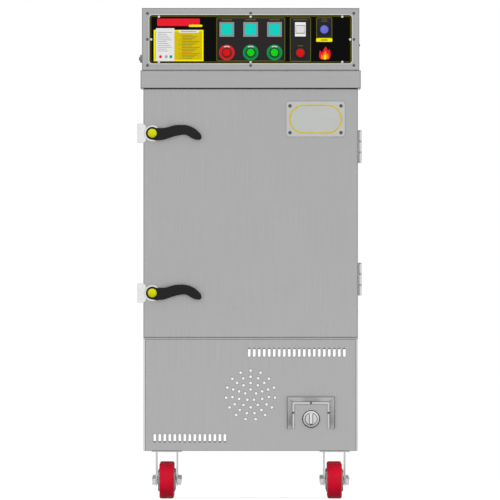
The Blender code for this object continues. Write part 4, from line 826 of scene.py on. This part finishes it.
def make_guard_details():
    """Dark lines along the guard's lip, bend and foot as painted shade, dark joint lines along its
    mitres, and the rivets in its flange.
    """
    low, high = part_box("knob_guard")
    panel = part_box("base_front_panel")[0].y
    middle = (low.x + high.x) / 2
    half = (high.x - low.x) / 2
    foot = panel - mm(2.5)
    lines = (
        ("lip", GUARD_LIP, low.y + mm(0.8)),
        ("bend", GUARD_BEND, foot),
        ("foot", GUARD_FOOT, foot + mm(0.2)),
    )
    start = low.z + mm(0.6)
    for name, inset_by, depth in lines:
        reach, top = half - inset_by, high.z - inset_by
        corners = ((-reach, start), (-reach, top), (reach, top), (reach, start))
        points = [(middle + x, depth, z) for x, z in corners]
        wire("guard_line_" + name, points, mm(0.55), "guard_line")
    for name, side in (("left", -1), ("right", 1)):
        outer = (middle + side * (half - GUARD_LIP), low.y + mm(0.4), high.z - GUARD_LIP)
        inner = (middle + side * (half - GUARD_BEND), foot, high.z - GUARD_BEND)
        wire("guard_mitre_" + name, [outer, inner], mm(0.5), "guard_line")
    seat = panel - mm(2.2)
    for number, (dx, up) in enumerate(GUARD_RIVETS):
        x, z = middle + mm(dx), low.z + mm(up)
        screw_head(f"guard_rivet_{number}", x, z, seat, mm(3.1), mm(1.3), "dark_screw")


def knob_ring(name, x, z, rear, outer, inner, material):
    """A thin flat ring that turns with the knob."""
    ring = (
        (inner, mm(0.3)),
        (outer - mm(0.2), mm(0.3)),
        (outer, mm(0.1)),
        (outer, -mm(0.1)),
        (inner, -mm(0.1)),
        (inner, mm(0.3)),
    )
    turned(name, ring, (x, rear, z), FRONTWARD, material, "knob")


def make_knob_details():
    """Rings round the knob's skirt and body, and the dark tip and side lines of its grip."""
    low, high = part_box("gas_knob")
    x, z = (low.x + high.x) / 2, (low.z + high.z) / 2
    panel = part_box("base_front_panel")[0].y
    dial = panel - mm(7.5)
    body = panel - mm(23.5)
    knob_ring("knob_skirt_ring", x, z, dial, mm(24.9), mm(22.3), "black")
    knob_ring("knob_body_ring", x, z, body, mm(17.2), mm(15.9), "black")
    tip = round_outline(x - mm(4.2), x + mm(4.2), z - mm(16.4), z - mm(13.4), mm(0.8))
    slab("knob_tip", [tip], low.y, mm(0.3), "black", "knob")
    for side, offset in (("left", -mm(4.4)), ("right", mm(4.4))):
        left, right = x + offset - mm(0.6), x + offset + mm(0.6)
        edge = round_outline(left, right, z - mm(13), z + mm(14), mm(0.5))
        slab("knob_grip_line_" + side, [edge], low.y, mm(0.2), "black", "knob")


def make_vent_mesh():
    """The pale wire cloth behind the panel's slots and holes, with a painted glow from its material.
    """
    panel_low, panel_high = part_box("base_front_panel")
    knob_low, knob_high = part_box("gas_knob")
    x, z = (knob_low.x + knob_high.x) / 2, (knob_low.z + knob_high.z) / 2
    sheet = (mm(-272), mm(272), panel_low.z + mm(27), panel_high.z - mm(27))
    outlines = [
        round_outline(*sheet, mm(3)),
        round_outline(x - mm(14), x + mm(14), z - mm(14), z + mm(14), mm(13.9)),
    ]
    slab("glowing_vent_mesh", outlines, panel_high.y + mm(1.2), mm(0.6), "mesh")


def make_shell_edges():
    """Bright strips on the base's front beside its front panel, a painted highlight for its rounded
    corners, and a dark strip along the foot of the cover's front, painted shade for the gap under the
    cover.
    """
    shell_low, shell_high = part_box("base_shell")
    panel_low, panel_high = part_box("base_front_panel")
    for side, low, high in (
        ("left", shell_low.x, panel_low.x - mm(0.6)),
        ("right", panel_high.x + mm(0.6), shell_high.x),
    ):
        # These bright strips are a painted highlight where the base's rounded corners catch the light
        strip = (low + mm(0.3), high, panel_low.z + mm(0.6), panel_high.z)
        slab("shell_corner_highlight_" + side, [round_outline(*strip, mm(0.3))], shell_low.y, mm(0.3), "trim")
    cover_low, cover_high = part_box("top_cover")
    foot = cover_low.z
    # This dark strip is painted shade for the gap under the cover
    lip = (cover_low.x + mm(0.6), cover_high.x - mm(0.6), foot + mm(0.1), foot + mm(1.9))
    slab("cover_shade_strip", [round_outline(*lip, mm(0.3))], cover_low.y, mm(0.3), "rubber")


def make_caster_details():
    """A washer round the axle on both sides of every wheel."""
    for end in ENDS:
        low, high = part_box("caster_wheel_" + end)
        x, y, z = (low.x + high.x) / 2, (low.y + high.y) / 2, (low.z + high.z) / 2
        half = (high.x - low.x) / 2
        for number, side in ((2, -1), (1, 1)):
            name = f"wheel_cap_{end}_{number}"
            place = (x + side * half, y, z)
            turned(name, WHEEL_CAP, place, (side, 0, 0), "bright", "wheel_" + end, 32)


# The studio: metres, and watts for the lamps

FLOOR_SIZE = 9.0
FLOOR_LIFT = 0.76
SKY_LEVEL = 1.0
LAMPS = (
    ("key", (-2.4, -3.6, 3.4), 3.0, 40),
    ("fill", (3.0, -3.4, 1.8), 3.0, 25),
    ("rear", (0.5, 3.8, 3.0), 3.0, 40),
)
FRAME_METRES = 1.3985
CAMERA_X = -0.0018
CAMERA_Z = 0.6959
CAMERA_FAR = 60.0
CAMERA_CLIP = (1, 120)
SENSOR = 36.0


def background_rays(tree):
    """One for the rays that see the backdrop: the camera's, and those in metal and glass."""
    path = tree.nodes.new("ShaderNodeLightPath")
    total = path.outputs["Is Camera Ray"]
    for name in ("Is Glossy Ray", "Is Transmission Ray"):
        either = tree.nodes.new("ShaderNodeMath")
        either.operation = "MAXIMUM"
        tree.links.new(total, either.inputs[0])
        tree.links.new(path.outputs[name], either.inputs[1])
        total = either.outputs[0]
    return total


def make_floor():
    """A pale floor, lifted to white for the backdrop's rays, that keeps the object's shadow."""
    bpy.ops.mesh.primitive_plane_add(size=FLOOR_SIZE, location=(0, 0, 0))
    floor = bpy.context.object
    floor.name = "studio_floor"
    made = Nodes("studio_floor")
    grain = made.spread(made.noise(3), 0, 1)
    material = made.finish(
        made.mix(grain, (0.34, 0.34, 0.34), (0.36, 0.36, 0.36)),
        made.spread(made.noise(9), 0.85, 0.95),
        Specular_IOR_Level=0.1,
    )
    lift = made.tree.nodes.new("ShaderNodeEmission")
    lift.inputs["Strength"].default_value = FLOOR_LIFT
    none = made.tree.nodes.new("ShaderNodeEmission")
    none.inputs["Strength"].default_value = 0
    seen = made.tree.nodes.new("ShaderNodeMixShader")
    both = made.tree.nodes.new("ShaderNodeAddShader")
    made.link(background_rays(made.tree), seen.inputs["Fac"])
    made.link(none.outputs[0], seen.inputs[1])
    made.link(lift.outputs[0], seen.inputs[2])
    made.link(made.shader.outputs[0], both.inputs[0])
    made.link(seen.outputs[0], both.inputs[1])
    made.link(both.outputs[0], made.tree.nodes["Material Output"].inputs["Surface"])
    material.cycles.emission_sampling = "NONE"
    floor.data.materials.append(material)


def make_world():
    """An even white sky."""
    world = bpy.data.worlds.new("studio")
    bpy.context.scene.world = world
    world.use_nodes = True
    tree = world.node_tree
    sky = tree.nodes["Background"]
    sky.inputs["Color"].default_value = (1, 1, 1, 1)
    sky.inputs["Strength"].default_value = SKY_LEVEL


def make_lamps():
    """Soft area lamps that polished metal doesn't mirror."""
    for name, place, size, power in LAMPS:
        light = bpy.data.lights.new(name, "AREA")
        light.size = size
        light.energy = power
        lamp = bpy.data.objects.new(name, light)
        lamp.location = place
        lamp.visible_glossy = False
        aim = Vector((0, 0, cad_box[1].z / 2)) - Vector(place)
        lamp.rotation_euler = aim.to_track_quat("-Z", "Y").to_euler()
        bpy.context.scene.collection.objects.link(lamp)


def make_camera():
    """A very long lens far in front: the photograph has no perspective."""
    camera = bpy.data.cameras.new("camera")
    camera.sensor_width = SENSOR
    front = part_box("door_skin")[0].y
    camera.lens = SENSOR * CAMERA_FAR / FRAME_METRES
    camera.clip_start, camera.clip_end = CAMERA_CLIP
    made = bpy.data.objects.new("camera", camera)
    made.location = (CAMERA_X, front - CAMERA_FAR, CAMERA_Z)
    made.rotation_euler = (math.radians(90), 0, 0)
    bpy.context.scene.collection.objects.link(made)
    bpy.context.scene.camera = made


make_camera()
dress_nodes()
make_fascia_print()
make_housing_screws()
make_window_trim()
make_control_details()
make_nameplate_details()
make_guard_details()
make_knob_details()
make_caster_details()
make_vent_mesh()
make_shell_edges()
make_floor()
make_world()
make_lamps()
bpy.context.scene.view_settings.view_transform = "Standard"
